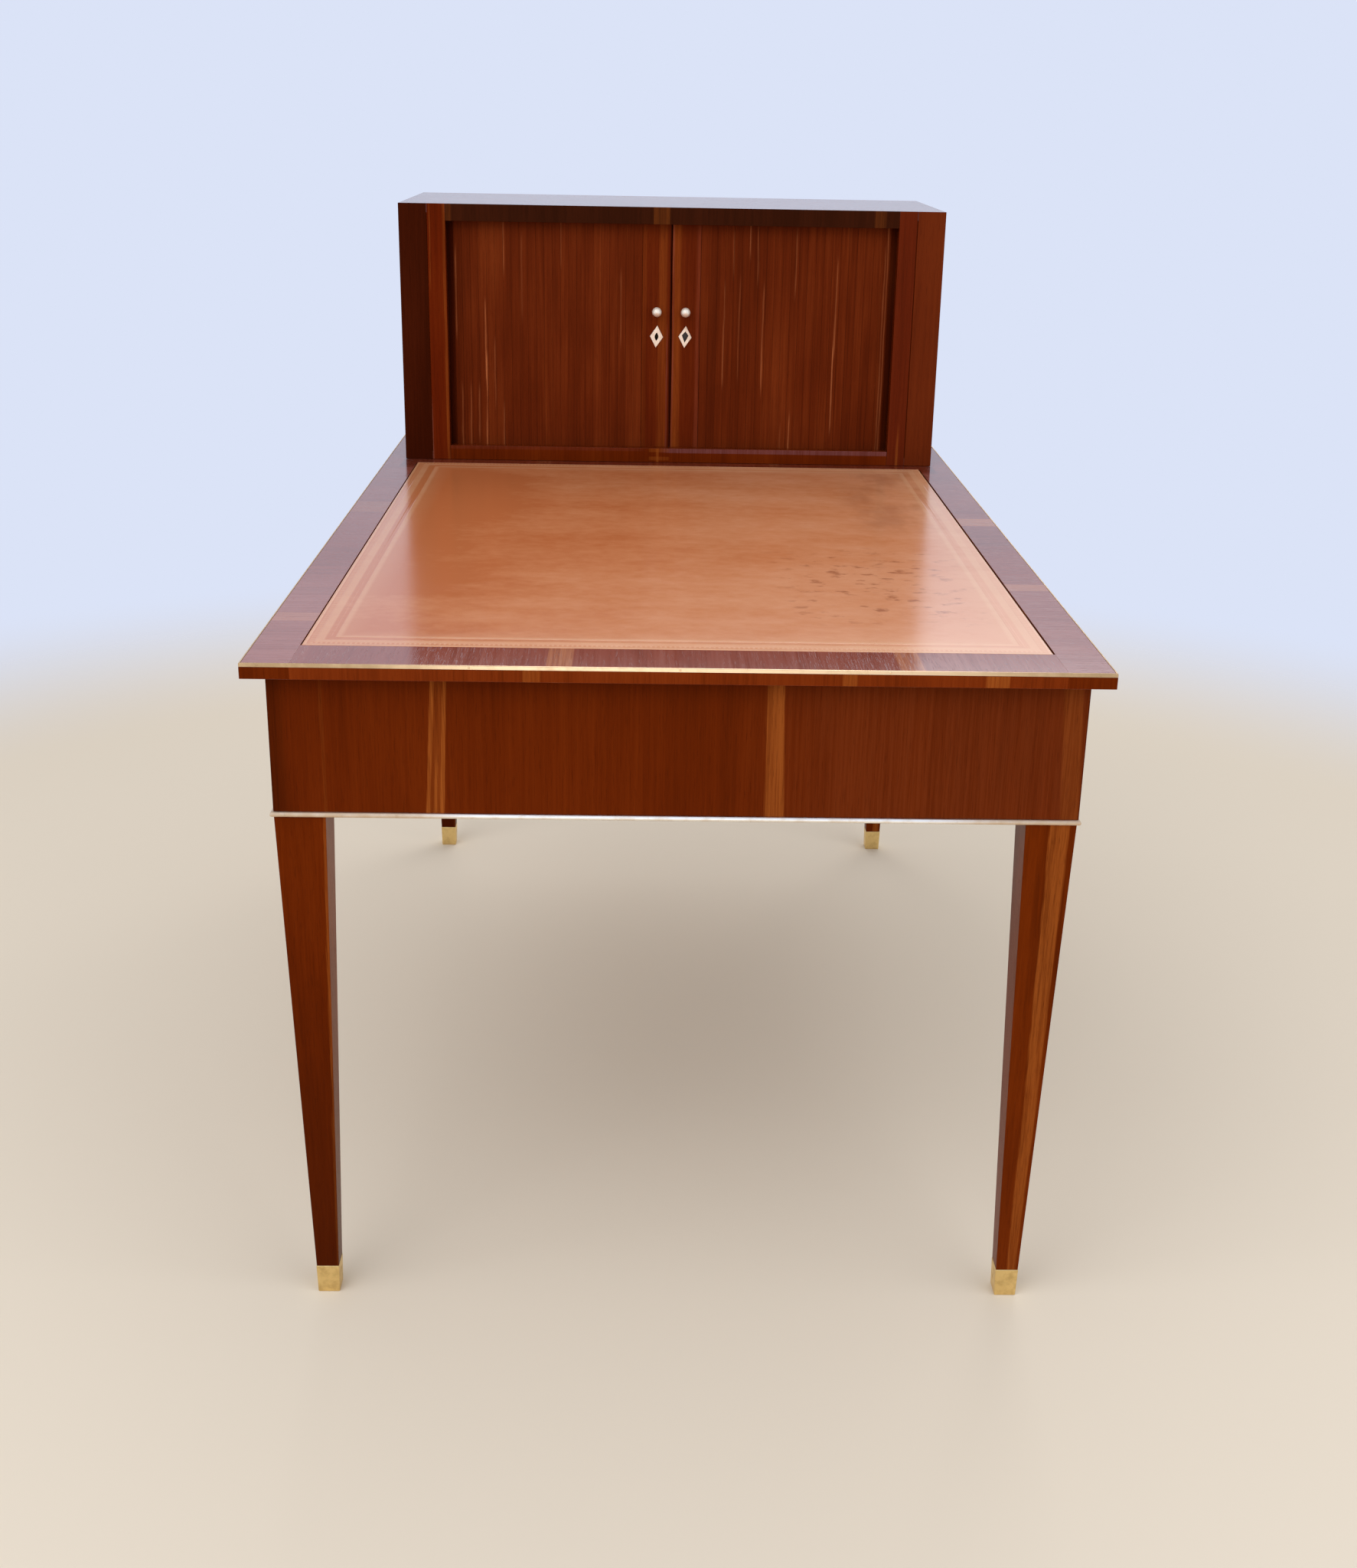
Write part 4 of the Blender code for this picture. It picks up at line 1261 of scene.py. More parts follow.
@dataclass
class Frieze:
    """The veneered frieze with its brass bead, and the rails and posts between the drawers.

    Attributes:
        veneer: The thickness of the veneer sheets.
        gap: The play behind and below them.
        arris: Their rounding.
        figure: How strong the veneer's figure is.
        bead_round: The rounding of the bead.
        pin: The bead's pins.
        pin_places: Their places in X, on both sides.
        bearers: How many bearers carry the drawers.
    """

    veneer: float = 0.0008
    gap: float = 0.0001
    arris: float = 0.0003
    figure: float = 0.75
    bead_round: float = 0.0027
    pin: Pin = Pin(0.0012)
    pin_places: tuple[float, ...] = (0.298, 0.355, 0.416)
    bearers: int = 4

    def build(self) -> None:
        """Builds the frieze."""
        self.sheets()
        self.bead()
        plain = Veneer("apron_mahogany", Axis.X, Axis.Z, gloss=Gloss.DULL, shift=17.0).build()
        repaint(plain, "apron_near", "apron_far")
        rails = Veneer("rail_veneer", Axis.Y, Axis.Z, shift=21.0).build()
        repaint(rails, "apron_right", "drawer_rail_upper", "drawer_rail_lower")
        repaint(Veneer("post_veneer", Axis.Z, Axis.Y, shift=25.0).build(), "drawer_post_1", "drawer_post_2")
        bearers = ["drawer_bearer_%d" % (number + 1) for number in range(self.bearers)]
        repaint(Oak("bearer_oak", Axis.X).build(), *bearers)

    def sheets(self) -> None:
        """Lays the veneer on the near end, the far end and the right side."""
        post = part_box("leg_near_right")[1]
        near_face = -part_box("apron_near")[0].y
        bottom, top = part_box("frieze_bead")[1].z + self.gap, post.z
        inner, outer = self.gap, self.gap + self.veneer
        spans = {
            "near": ((-post.x, -near_face - outer), (post.x, -near_face - inner)),
            "far": ((-post.x, near_face + inner), (post.x, near_face + outer)),
            "right": ((post.x + inner, -near_face - outer), (post.x + outer, near_face + outer)),
        }
        strips = {
            "near": (Strip(-0.2658, -0.2478, 0.90, 0.70, (0.054, 0.038), bottom, 0.0012),
                     Strip(-0.2578, -0.2556, 0.60, 0.0, (0.046, 0.046), bottom, 0.0012,
                           (bottom, bottom + 0.03)),
                     Strip(0.0940, 0.1123, 0.85, 0.15, (-0.0138, -0.0316), bottom),
                     Strip(0.4113, 0.4264, 0.40, 0.0, (-0.0605, -0.0533), bottom, 0.004),
                     Strip(-0.3735, -0.3715, 0.15, soft=0.0012),
                     Strip(-0.4300, -0.4230, 0.70, soft=0.018, tone=ink(50, 15, 2)),
                     Strip(0.2200, 0.4500, 0.35, soft=0.200, tone=ink(116, 54, 26))),
            "far": (Strip(-0.310, -0.291, 0.75, 0.6, (0.05, 0.03), bottom),
                    Strip(0.040, 0.064, 0.70, 0.2, (-0.03, -0.05), bottom),
                    Strip(0.292, 0.301, 0.40, 0.0, (0.02, 0.02), bottom)),
            "right": (Strip(-0.612, -0.592, 0.75, 0.6, (0.04, 0.02), bottom),
                      Strip(-0.236, -0.213, 0.75, 0.2, (-0.02, -0.05), bottom),
                      Strip(0.151, 0.160, 0.35, 0.0, (0.03, 0.03), bottom),
                      Strip(0.440, 0.462, 0.60, 0.4, (-0.05, -0.03), bottom)),
        }
        for place, (low, high) in spans.items():
            across = Axis.Y if place == "right" else Axis.X
            finish = Veneer(place + "_frieze_veneer", Axis.Z, across, strips[place], shift=float(len(place)),
                            figure=self.figure)
            sheet = Bench.board(place + "_frieze", (*low, bottom), (*high, top), self.arris)
            Bench.hand_over(sheet, Slot.MAHOGANY, finish.build())

    def bead(self) -> None:
        """Builds the half-round bead and its pins."""
        low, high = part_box("frieze_bead")
        width = high.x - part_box("leg_near_right")[1].x - self.gap
        ring = Bench.ring("brass_bead", high, width, low.z)
        with Bench.editing(ring):
            Bench.round_edges(lambda edge: run(edge, Axis.Z) < NEAR_ENOUGH and outermost(edge, high),
                              self.bead_round, 5)
        brass = Brass("bead_brass", ink(255, 250, 240), ink(222, 196, 164), 0.30, 0.40,
                      (-0.20, 0.25)).build()
        Bench.hand_over(ring, Slot.BRASS, brass, node="frieze_bead")
        height = (low.z + high.z) / 2
        pins = [self.pin.build((sign * out, end * high.y, height), (-end * QUARTER_TURN, 0.0, 0.0))
                for out in self.pin_places for sign in SIDES.values() for end in ENDS.values()]
        Bench.hand_over(Bench.join("bead_pins", *pins), Slot.BRASS, brass)


@dataclass
class Legs:
    """Four tapered legs in square brass feet.

    Attributes:
        foot_width: The width of a leg at its foot.
        arris: The rounding of the legs.
        spigot_share: The width of the spigot in a foot, as a share of the leg's.
        spigot_depth: The length of the spigot.
        foot_wall: The thickness of a foot's wall.
        foot_taper: The width of a foot at the floor, as a share of that at its top.
        foot_round: The rounding of the feet.
        sap: The edges of the right legs' sapwood at the foot, from the middle of the leg.
        sap_lean: How far these edges move in a metre.
        worn: The width of the painted highlight along the inner corner of the left legs.
        shades: How dark the legs of each side get towards the floor, in painted shade.
        tones: The tones of the legs of each side, the left ones darker in painted shade.
    """

    foot_width: float = 0.026
    arris: float = 0.0009
    spigot_share: float = 0.88
    spigot_depth: float = 0.020
    foot_wall: float = 0.0012
    foot_taper: float = 0.933
    foot_round: float = 0.0012
    sap: Span = (0.0012, 0.0090)
    sap_lean: Span = (-0.002, 0.018)
    worn: float = 0.0016
    # The left legs are painted darker than the right ones and shade more towards the floor: painted shade.
    shades: Mapping[str, float] = field(default_factory=lambda: {"left": 0.60, "right": 0.10})
    tones: Mapping[str, Tones] = field(default_factory=lambda: {
        "left": Tones.of((61, 16, 1), (93, 31, 3), (114, 43, 7)),
        "right": Tones.of((68, 20, 2), (102, 37, 4), (124, 50, 10))})

    def build(self) -> None:
        """Builds the legs and feet."""
        brass = Brass("foot_brass", ink(236, 206, 140), ink(186, 150, 88), 0.34, 0.5).build()
        for side in SIDES:
            for end in ENDS:
                self.leg(side, end)
                self.foot(side, end, brass)

    def leg(self, side: str, end: str) -> None:
        """Builds one leg.

        Args:
            side: Left or right.
            end: Near or far.
        """
        node = "leg_%s_%s" % (end, side)
        low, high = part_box(node)
        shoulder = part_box("frieze_bead")[0].z
        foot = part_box("sabot_%s_%s" % (end, side))[1].z
        middle = (low + high) / 2
        width = high.x - low.x
        leg = Bench.box("%s_%s_leg" % (side, end), (low.x, low.y, shoulder), high)
        with Bench.editing(leg):
            Bench.pick(Part.FACE, looks_down)
            Bench.extrude((0.0, 0.0, foot - shoulder))
            Bench.resize(self.foot_width / width, (middle.x, middle.y, foot))
            Bench.round_edges(lambda line: run(line, Axis.Z) > LONG_EDGE, self.arris)
            Bench.pick(Part.FACE, looks_down)
            bpy.ops.mesh.inset(thickness=self.foot_width * (1 - self.spigot_share) / 2)
            Bench.extrude((0.0, 0.0, -self.spigot_depth))
        if side == "right":
            strip = Strip(middle.x + self.sap[0], middle.x + self.sap[1], 0.70, 0.0, self.sap_lean, foot)
        else:
            # The pale strip along the left legs' inner corner is a painted highlight on the arris.
            corner = middle.x + self.foot_width / 2
            slope = (width - self.foot_width) / 2 / (shoulder - foot)
            strip = Strip(corner - self.worn, corner, 0.5, 0.0, (slope, slope), foot)
        finish = Veneer("%s_%s_leg_veneer" % (side, end), Axis.Z, Axis.X, (strip,), tones=self.tones[side],
                        shift=SIDES[side] * 3.0 + len(end), foot_shade=self.shades[side])
        Bench.hand_over(leg, Slot.MAHOGANY, finish.build(), node=node)

    def foot(self, side: str, end: str, brass: bpy.types.Material) -> None:
        """Builds one brass foot, open at the top for the leg.

        Args:
            side: Left or right.
            end: Near or far.
            brass: Its material.
        """
        node = "sabot_%s_%s" % (end, side)
        low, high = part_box(node)
        middle = (low + high) / 2
        foot = Bench.box("%s_%s_foot" % (side, end), low, high)
        with Bench.editing(foot):
            Bench.pick(Part.FACE, looks_down)
            Bench.resize(self.foot_taper, (middle.x, middle.y, low.z))
            Bench.round_edges(lambda edge: True, self.foot_round)
            Bench.pick(Part.FACE, looks_up)
            bpy.ops.mesh.inset(thickness=self.foot_wall)
            Bench.extrude((0.0, 0.0, -self.spigot_depth - self.foot_wall))
        Bench.hand_over(foot, Slot.BRASS, brass, node=node)


@dataclass
class Knob:
    """A turned knob: a rosette, a neck and a ball.

    Attributes:
        rosette: The radius of the rosette.
        rosette_height: Its height.
        neck: The radius of the neck.
        ball: The radius of the ball.
        stand: The height of the ball's middle.
        shank: The radius of the shank in the wood.
        shank_length: Its length.
        cove: The width of the cove between neck and rosette, and its height.
        rim: The width and height of the rosette's rim.
        rim_corner: The same for the middle of the rim.
        seat: The play under the rosette, and the height of the cove's foot.
        arc_steps: The steps of the ball's profile.
    """

    rosette: float = 0.0056
    rosette_height: float = 0.0016
    neck: float = 0.0030
    ball: float = 0.0074
    stand: float = 0.0110
    shank: float = 0.0023
    shank_length: float = 0.0055
    cove: Span = (0.0008, 0.0012)
    rim: float = 0.0010
    rim_corner: Span = (0.0003, 0.0004)
    seat: float = 0.0003
    arc_steps: int = 14

    def build(self, name: str, spot: Sequence[float], turn: Sequence[float], body: str, node: str,
              brass: bpy.types.Material) -> None:
        """Builds a knob on a face.

        Args:
            name: The piece's name.
            spot: The middle of its seat.
            turn: Turns its axis from +Z to where it faces.
            body: The body that it moves with.
            node: The solid that it stands for.
            brass: Its material.
        """
        last = math.pi - math.asin(self.neck / self.ball)
        angles = [last * step / self.arc_steps for step in range(self.arc_steps + 1)]
        profile = [(self.ball * math.sin(angle), self.stand + self.ball * math.cos(angle))
                   for angle in angles]
        edge, height = self.rosette, self.rosette_height
        profile += [
            (self.neck, height + self.cove[1]), (self.neck + self.cove[0], height + self.seat),
            (edge - self.rim, height), (edge - self.rim_corner[0], height - self.rim_corner[1]),
            (edge, height - self.rim), (edge, self.seat), (self.shank, self.seat),
            (self.shank, -self.shank_length), (0.0, -self.shank_length)]
        knob = Bench.lathe(name, profile)
        Bench.move(knob, spot, turn)
        Bench.hand_over(knob, Slot.BRASS, brass, node=node, body=body)


@dataclass
class Drawers:
    """Three drawers in the left side of the frieze.

    Attributes:
        count: How many there are.
        arris: The rounding of their fronts.
        turn: Turns their knobs to the left.
        sap_step: How much further along the sapwood lies in each front than in the last.
        sap_width: The width of the sapwood.
    """

    count: int = 3
    arris: float = 0.0007
    turn: Point = (0.0, -QUARTER_TURN, 0.0)
    sap_step: float = 0.11
    sap_width: float = 0.018

    def build(self, brass: bpy.types.Material) -> None:
        """Builds the drawers' fronts and knobs, and dresses their boxes.

        Args:
            brass: The knobs' material.
        """
        box_oak = Oak("drawer_oak", Axis.X).build()
        for number in range(1, self.count + 1):
            body = "drawer_%d" % number
            low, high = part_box(body + "_front")
            front = Bench.board("front_of_" + body, low, high, self.arris)
            sap = low.y + self.sap_step * number
            finish = Veneer(body + "_veneer", Axis.Z, Axis.Y, (
                Strip(sap, sap + self.sap_width, 0.65, 0.5, (0.05, 0.03), low.z),), shift=number * 2.7)
            Bench.hand_over(front, Slot.MAHOGANY, finish.build(), node=body + "_front", body=body)
            spot = (low.x, (low.y + high.y) / 2, (low.z + high.z) / 2)
            Knob().build("knob_of_" + body, spot, self.turn, body, body + "_knob", brass)
            repaint(box_oak, body + "_box", body + "_bottom")


@dataclass
class Cabinet:
    """The file cabinet's case, with veneer bands on its front.

    Attributes:
        veneer: The thickness of the veneer.
        gap: The play behind it.
        arris: Its rounding.
        band: The width of the outer bands.
        joint: Half of the space between an outer and an inner band.
        clearance: The space between an inner band and the rails.
        low: The lowest corner of the case.
        edge: Its outer edge in X, on the right side.
        top: Its top.
        opening: The edge of its opening, on the right side.
    """

    veneer: float = 0.0006
    gap: float = 0.0001
    arris: float = 0.0003
    band: float = 0.043
    joint: float = 0.0006
    clearance: float = 0.0003
    low: Vector = field(default_factory=lambda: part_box("cabinet_bottom")[0])
    edge: float = field(default_factory=lambda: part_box("cabinet_bottom")[1].x)
    top: float = field(default_factory=lambda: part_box("cabinet_top")[1].z)
    opening: float = field(default_factory=lambda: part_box("cabinet_rail_top")[1].x)

    def build(self) -> None:
        """Builds the front's veneers and dresses the case."""
        self.stiles()
        self.rails()
        self.back()
        boards = Veneer("case_board_veneer", Axis.X, Axis.Y, gloss=Gloss.MIRROR, shift=37.0).build()
        repaint(boards, "cabinet_bottom", "cabinet_top", "cabinet_rail_top", "cabinet_sill")
        sides = Veneer("case_side_veneer", Axis.Z, Axis.Y, (
            Strip(0.500, 0.519, 0.65, 0.5, (0.03, 0.01), self.low.z),
            Strip(0.660, 0.667, 0.35, 0.0, (-0.03, -0.03), self.low.z)), shift=39.0).build()
        repaint(sides, *("cabinet_%s_%s" % (part, side) for part in ("side", "stile") for side in SIDES))
        back_oak = Oak("back_oak", Axis.Z).build()
        repaint(back_oak, "cabinet_back", *("tambour_lining_" + side for side in SIDES))
        repaint(Oak("shelf_oak", Axis.X).build(), "cabinet_shelf")

    def stiles(self) -> None:
        """Lays an outer and an inner band of veneer on each stile."""
        # The left outer band takes much darker tones than the right one: painted shade on the left side.
        outer_lit_and_shaded_tones = {"left": Tones.of((38, 9, 2), (56, 16, 4), (72, 24, 8)),
                       "right": Tones.of((66, 22, 8), (97, 37, 14), (112, 46, 18))}
        inner_tones = {"left": Tones.of((62, 15, 3), (92, 27, 5), (112, 42, 11)),
                       "right": Tones.of((62, 20, 8), (92, 31, 12), (108, 42, 18))}
        # On the left, the thin pale lines along the inner edge and at the seam are painted highlights on the
        # arrises; the short pale line low on the right band is only a lighter patch.
        lights = {
            "left": (Strip(-0.3520, -0.3500, 0.40),
                     Strip(-0.3735, -0.3725, 0.30, soft=0.0008, reach=(1.08, 1.15)),
                     Strip(-0.3762, -0.3750, 0.55, soft=0.0010, reach=(0.78, 0.84), tone=ink(138, 82, 66))),
            "right": (Strip(0.3640, 0.3655, 0.40, reach=(0.78, 0.81)),),
        }
        seam = self.edge - self.band
        outer_span = (seam + self.joint, self.edge)
        inner_span = (self.opening + self.clearance, seam - self.joint)
        rise = (self.low.z, self.top)
        for side, sign in SIDES.items():
            outer = Veneer(side + "_outer_band_veneer", Axis.Z, Axis.X, shift=sign * 4.0,
                           tones=outer_lit_and_shaded_tones[side])
            self.lay(side + "_outer_band", sign, outer_span, rise, outer)
            inner = Veneer(side + "_inner_band_veneer", Axis.Z, Axis.X, lights[side], shift=sign * 6.0,
                           tones=inner_tones[side])
            self.lay(side + "_inner_band", sign, inner_span, rise, inner)

    def rails(self) -> None:
        """Lays a band of veneer on the top rail and on the sill."""
        span = (-self.opening, self.opening)
        rail = Veneer("rail_band_veneer", Axis.Z, Axis.X, (
            Strip(-0.351, -0.342, 0.14, soft=0.004), Strip(-0.028, -0.006, 0.28, 0.3, soft=0.003),
            Strip(0.313, 0.326, 0.16, soft=0.004),
        ), shift=31.0, figure=0.8, tones=Tones.of((30, 11, 5), (50, 20, 9), (68, 28, 13)))
        self.lay("top_rail_band", 1, span, (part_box("cabinet_rail_top")[0].z, self.top), rail)
        base, rim = self.low.z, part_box("cabinet_sill")[1].z
        sill = Veneer("sill_veneer", Axis.Z, Axis.X, (
            Strip(-0.0205, -0.0172, 0.5, soft=0.001),
            Strip(-0.031, -0.002, 0.3, soft=0.003, reach=(rim - 0.005, rim)),
            Strip(-0.031, -0.002, 0.3, soft=0.003, reach=(base + 0.004, base + 0.008)),
            # The two pale strips along the top of the sill, the bluish one on the right, are a painted
            # reflection of the pale surroundings on its upper edge.
            Strip(0.010, 0.350, 0.45, soft=0.03, reach=(rim - 0.006, rim), tone=ink(128, 84, 88)),
            Strip(-0.350, -0.060, 0.2, soft=0.03, reach=(rim - 0.004, rim), tone=ink(120, 60, 50)),
        ), shift=33.0, fade=0.0015)
        self.lay("sill_band", 1, span, (base, rim), sill)

    def back(self) -> None:
        """Lays a sheet of veneer on the back, which is seen where the desk stands free."""
        low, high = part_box("cabinet_back")
        seat = high.y + self.gap
        sheet = Bench.board("back_veneer_sheet", (low.x + self.gap, seat, low.z + self.gap),
                            (high.x - self.gap, seat + self.veneer, high.z - self.gap), self.arris)
        finish = Veneer("back_veneer", Axis.Z, Axis.X, (
            Strip(-0.170, -0.148, 0.70, 0.4, (0.03, 0.01), low.z),
            Strip(0.205, 0.213, 0.40, 0.0, (-0.02, -0.02), low.z)), shift=47.0)
        Bench.hand_over(sheet, Slot.MAHOGANY, finish.build())

    def lay(self, name: str, sign: int, span: Span, rise: Span, finish: Veneer) -> None:
        """Lays one strip of veneer on the front.

        Args:
            name: The piece's name.
            sign: The sign in X of the side that it is on.
            span: Its ends in X, on the right side.
            rise: Its lower and upper ends.
            finish: Its veneer.
        """
        left, right = sorted((sign * span[0], sign * span[1]))
        back = self.low.y - self.gap
        sheet = Bench.board(name, (left, back - self.veneer, rise[0] + self.gap), (right, back, rise[1]),
                            self.arris)
        Bench.hand_over(sheet, Slot.MAHOGANY, finish.build())


@dataclass
class Curtain:
    """One slatted curtain, with slats glued on cloth, which draws together as its door opens.

    Attributes:
        side: Left or right.
        slat_width: The width of a slat, before whole slats fill the curtain.
        slit: The space between two slats.
        cloth: The thickness of the cloth.
        arris: The rounding of the slats.
        unevenness: How far a slat lies in or out at most.
        highlight_width: The width of the painted highlights in the slats.
        travel: How far the door slides; it is not used.
        bend_start: Where the curtain starts to turn into the case.
        bend_radius: The radius of that turn.
        bend_depth: Its depth at most.
    """

    side: str
    slat_width: float = 0.0128
    slit: float = 0.00008
    cloth: float = 0.0006
    arris: float = 0.0005
    unevenness: float = 0.00018
    highlight_width: float = 0.0014
    travel: float = 0.30
    bend_start: float = 0.333
    bend_radius: float = 0.016
    bend_depth: float = 0.0115

    def build(self) -> None:
        """Builds the curtain."""
        node = "tambour_" + self.side
        sign = SIDES[self.side]
        low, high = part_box(node)
        width = high.x - low.x
        count = round(width / self.slat_width)
        pitch = width / count
        slats = self.slats(low, high, pitch, count)
        cloth_start = len(slats.data.polygons)
        cloth = Bench.board("cloth_" + self.side, (low.x, high.y - self.cloth, low.z), high, self.cloth / 4)
        curtain = Bench.join("curtain_" + self.side, slats, cloth)
        self.lay_out(curtain, low.x)
        self.bend(curtain)
        wood = Veneer("slat_veneer_" + self.side, Axis.Y, Axis.X, self.slat_highlights(low.x), shift=41.0 + sign,
                      tones=Tones.of((66, 20, 6), (94, 34, 11), (122, 53, 21), (164, 94, 56)),
                      figure=1.25, slat_pitch=pitch, fade=0.03).build()
        canvas = Plain("canvas_" + self.side, ink(150, 132, 104), ink(176, 160, 130),
                       (900.0, 900.0, 900.0), 0.8)
        Bench.hand_over(curtain, Slot.MAHOGANY, wood, canvas.build(), node=node,
                        choose=lambda face: 0 if face.index < cloth_start else 1)
        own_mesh(curtain)

    def slats(self, low: Vector, high: Vector, pitch: float, count: int) -> bpy.types.Object:
        """Builds the row of slats, each a hair further in or out than the next.

        Args:
            low: The curtain's lowest corner.
            high: Its highest corner.
            pitch: How far apart the slats are.
            count: How many there are.

        Returns:
            The row.
        """
        slats = Bench.box("slats_" + self.side, (low.x + self.slit / 2, low.y, low.z),
                          (low.x + pitch - self.slit / 2, high.y - self.cloth, high.z))
        with Bench.editing(slats):
            Bench.round_edges(lambda edge: run(edge, Axis.Z) > LONG_EDGE and all(
                vert.co.y < low.y + NEAR_ENOUGH for vert in edge.verts), self.arris, 4)
        Bench.modify(slats, "ARRAY", count=count, use_relative_offset=False, use_constant_offset=True,
                     constant_offset_displace=(pitch, 0.0, 0.0))
        chance = random.Random(SIDES[self.side])
        steps = [chance.uniform(0.0, self.unevenness) for _ in range(count)]
        for vertex in slats.data.vertices:
            if vertex.co.y < (low.y + high.y) / 2:
                number = min(count - 1, max(0, int((vertex.co.x - low.x) / pitch)))
                vertex.co.y += steps[number]
        return slats

    def slat_highlights(self, start: float) -> tuple[Strip, ...]:
        """Gives the painted highlights: thin pale streaks in the slats, from their places across, their two
        ends and strengths.

        Args:
            start: Where the curtain starts across.

        Returns:
            The streaks, measured from there.
        """
        found = {
            "left": ((-0.2908, 0.80, 0.93, 0.95), (-0.2914, 0.92, 1.01, 0.60), (-0.2776, 0.88, 0.95, 0.40),
                     (-0.3300, 0.81, 0.88, 0.40), (-0.3165, 0.81, 0.88, 0.40), (-0.3030, 0.83, 0.88, 0.35),
                     (-0.2640, 0.81, 0.85, 0.45), (-0.2615, 1.09, 1.14, 0.35), (-0.2339, 1.02, 1.11, 0.20),
                     (-0.1725, 1.10, 1.15, 0.25), (-0.0794, 0.98, 1.06, 0.30), (-0.3368, 0.99, 1.09, 0.40)),
            "right": ((0.2572, 0.85, 0.95, 0.75), (0.2584, 0.97, 1.08, 0.50), (0.1445, 0.91, 1.04, 0.50),
                      (0.0833, 0.92, 1.04, 0.45), (0.1217, 1.12, 1.15, 0.45), (0.1340, 1.08, 1.13, 0.35),
                      (0.1938, 1.06, 1.13, 0.35), (0.1917, 0.80, 0.84, 0.55), (0.0960, 1.09, 1.12, 0.30),
                      (0.1070, 0.93, 1.05, 0.20), (0.1780, 0.80, 0.82, 0.35), (0.3325, 0.80, 1.10, 0.40),
                      (0.3365, 0.80, 1.15, 0.45)),
        }
        half = self.highlight_width / 2
        return tuple(Strip(x - start - half, x - start + half, strength, soft=half, reach=(low, high))
                     for x, low, high, strength in found[self.side])

    def bend(self, curtain: bpy.types.Object) -> None:
        """Lets the slats next to the frame turn away into the case.

        Args:
            curtain: The curtain.
        """
        for vertex in curtain.data.vertices:
            beyond = max(0.0, abs(vertex.co.x) - self.bend_start)
            vertex.co.y += min(beyond ** 2 / (2 * self.bend_radius), self.bend_depth)

    @staticmethod
    def lay_out(curtain: bpy.types.Object, start: float) -> None:
        """Gives the slats a map of their places across and up, which stays with them as they draw together.

        Args:
            curtain: The curtain.
            start: Where it starts across.
        """
        layer = curtain.data.uv_layers.new(name=SLAT_MAP)
        for loop in curtain.data.loops:
            spot = curtain.data.vertices[loop.vertex_index].co
            layer.data[loop.index].uv = (spot.x - start, spot.z)


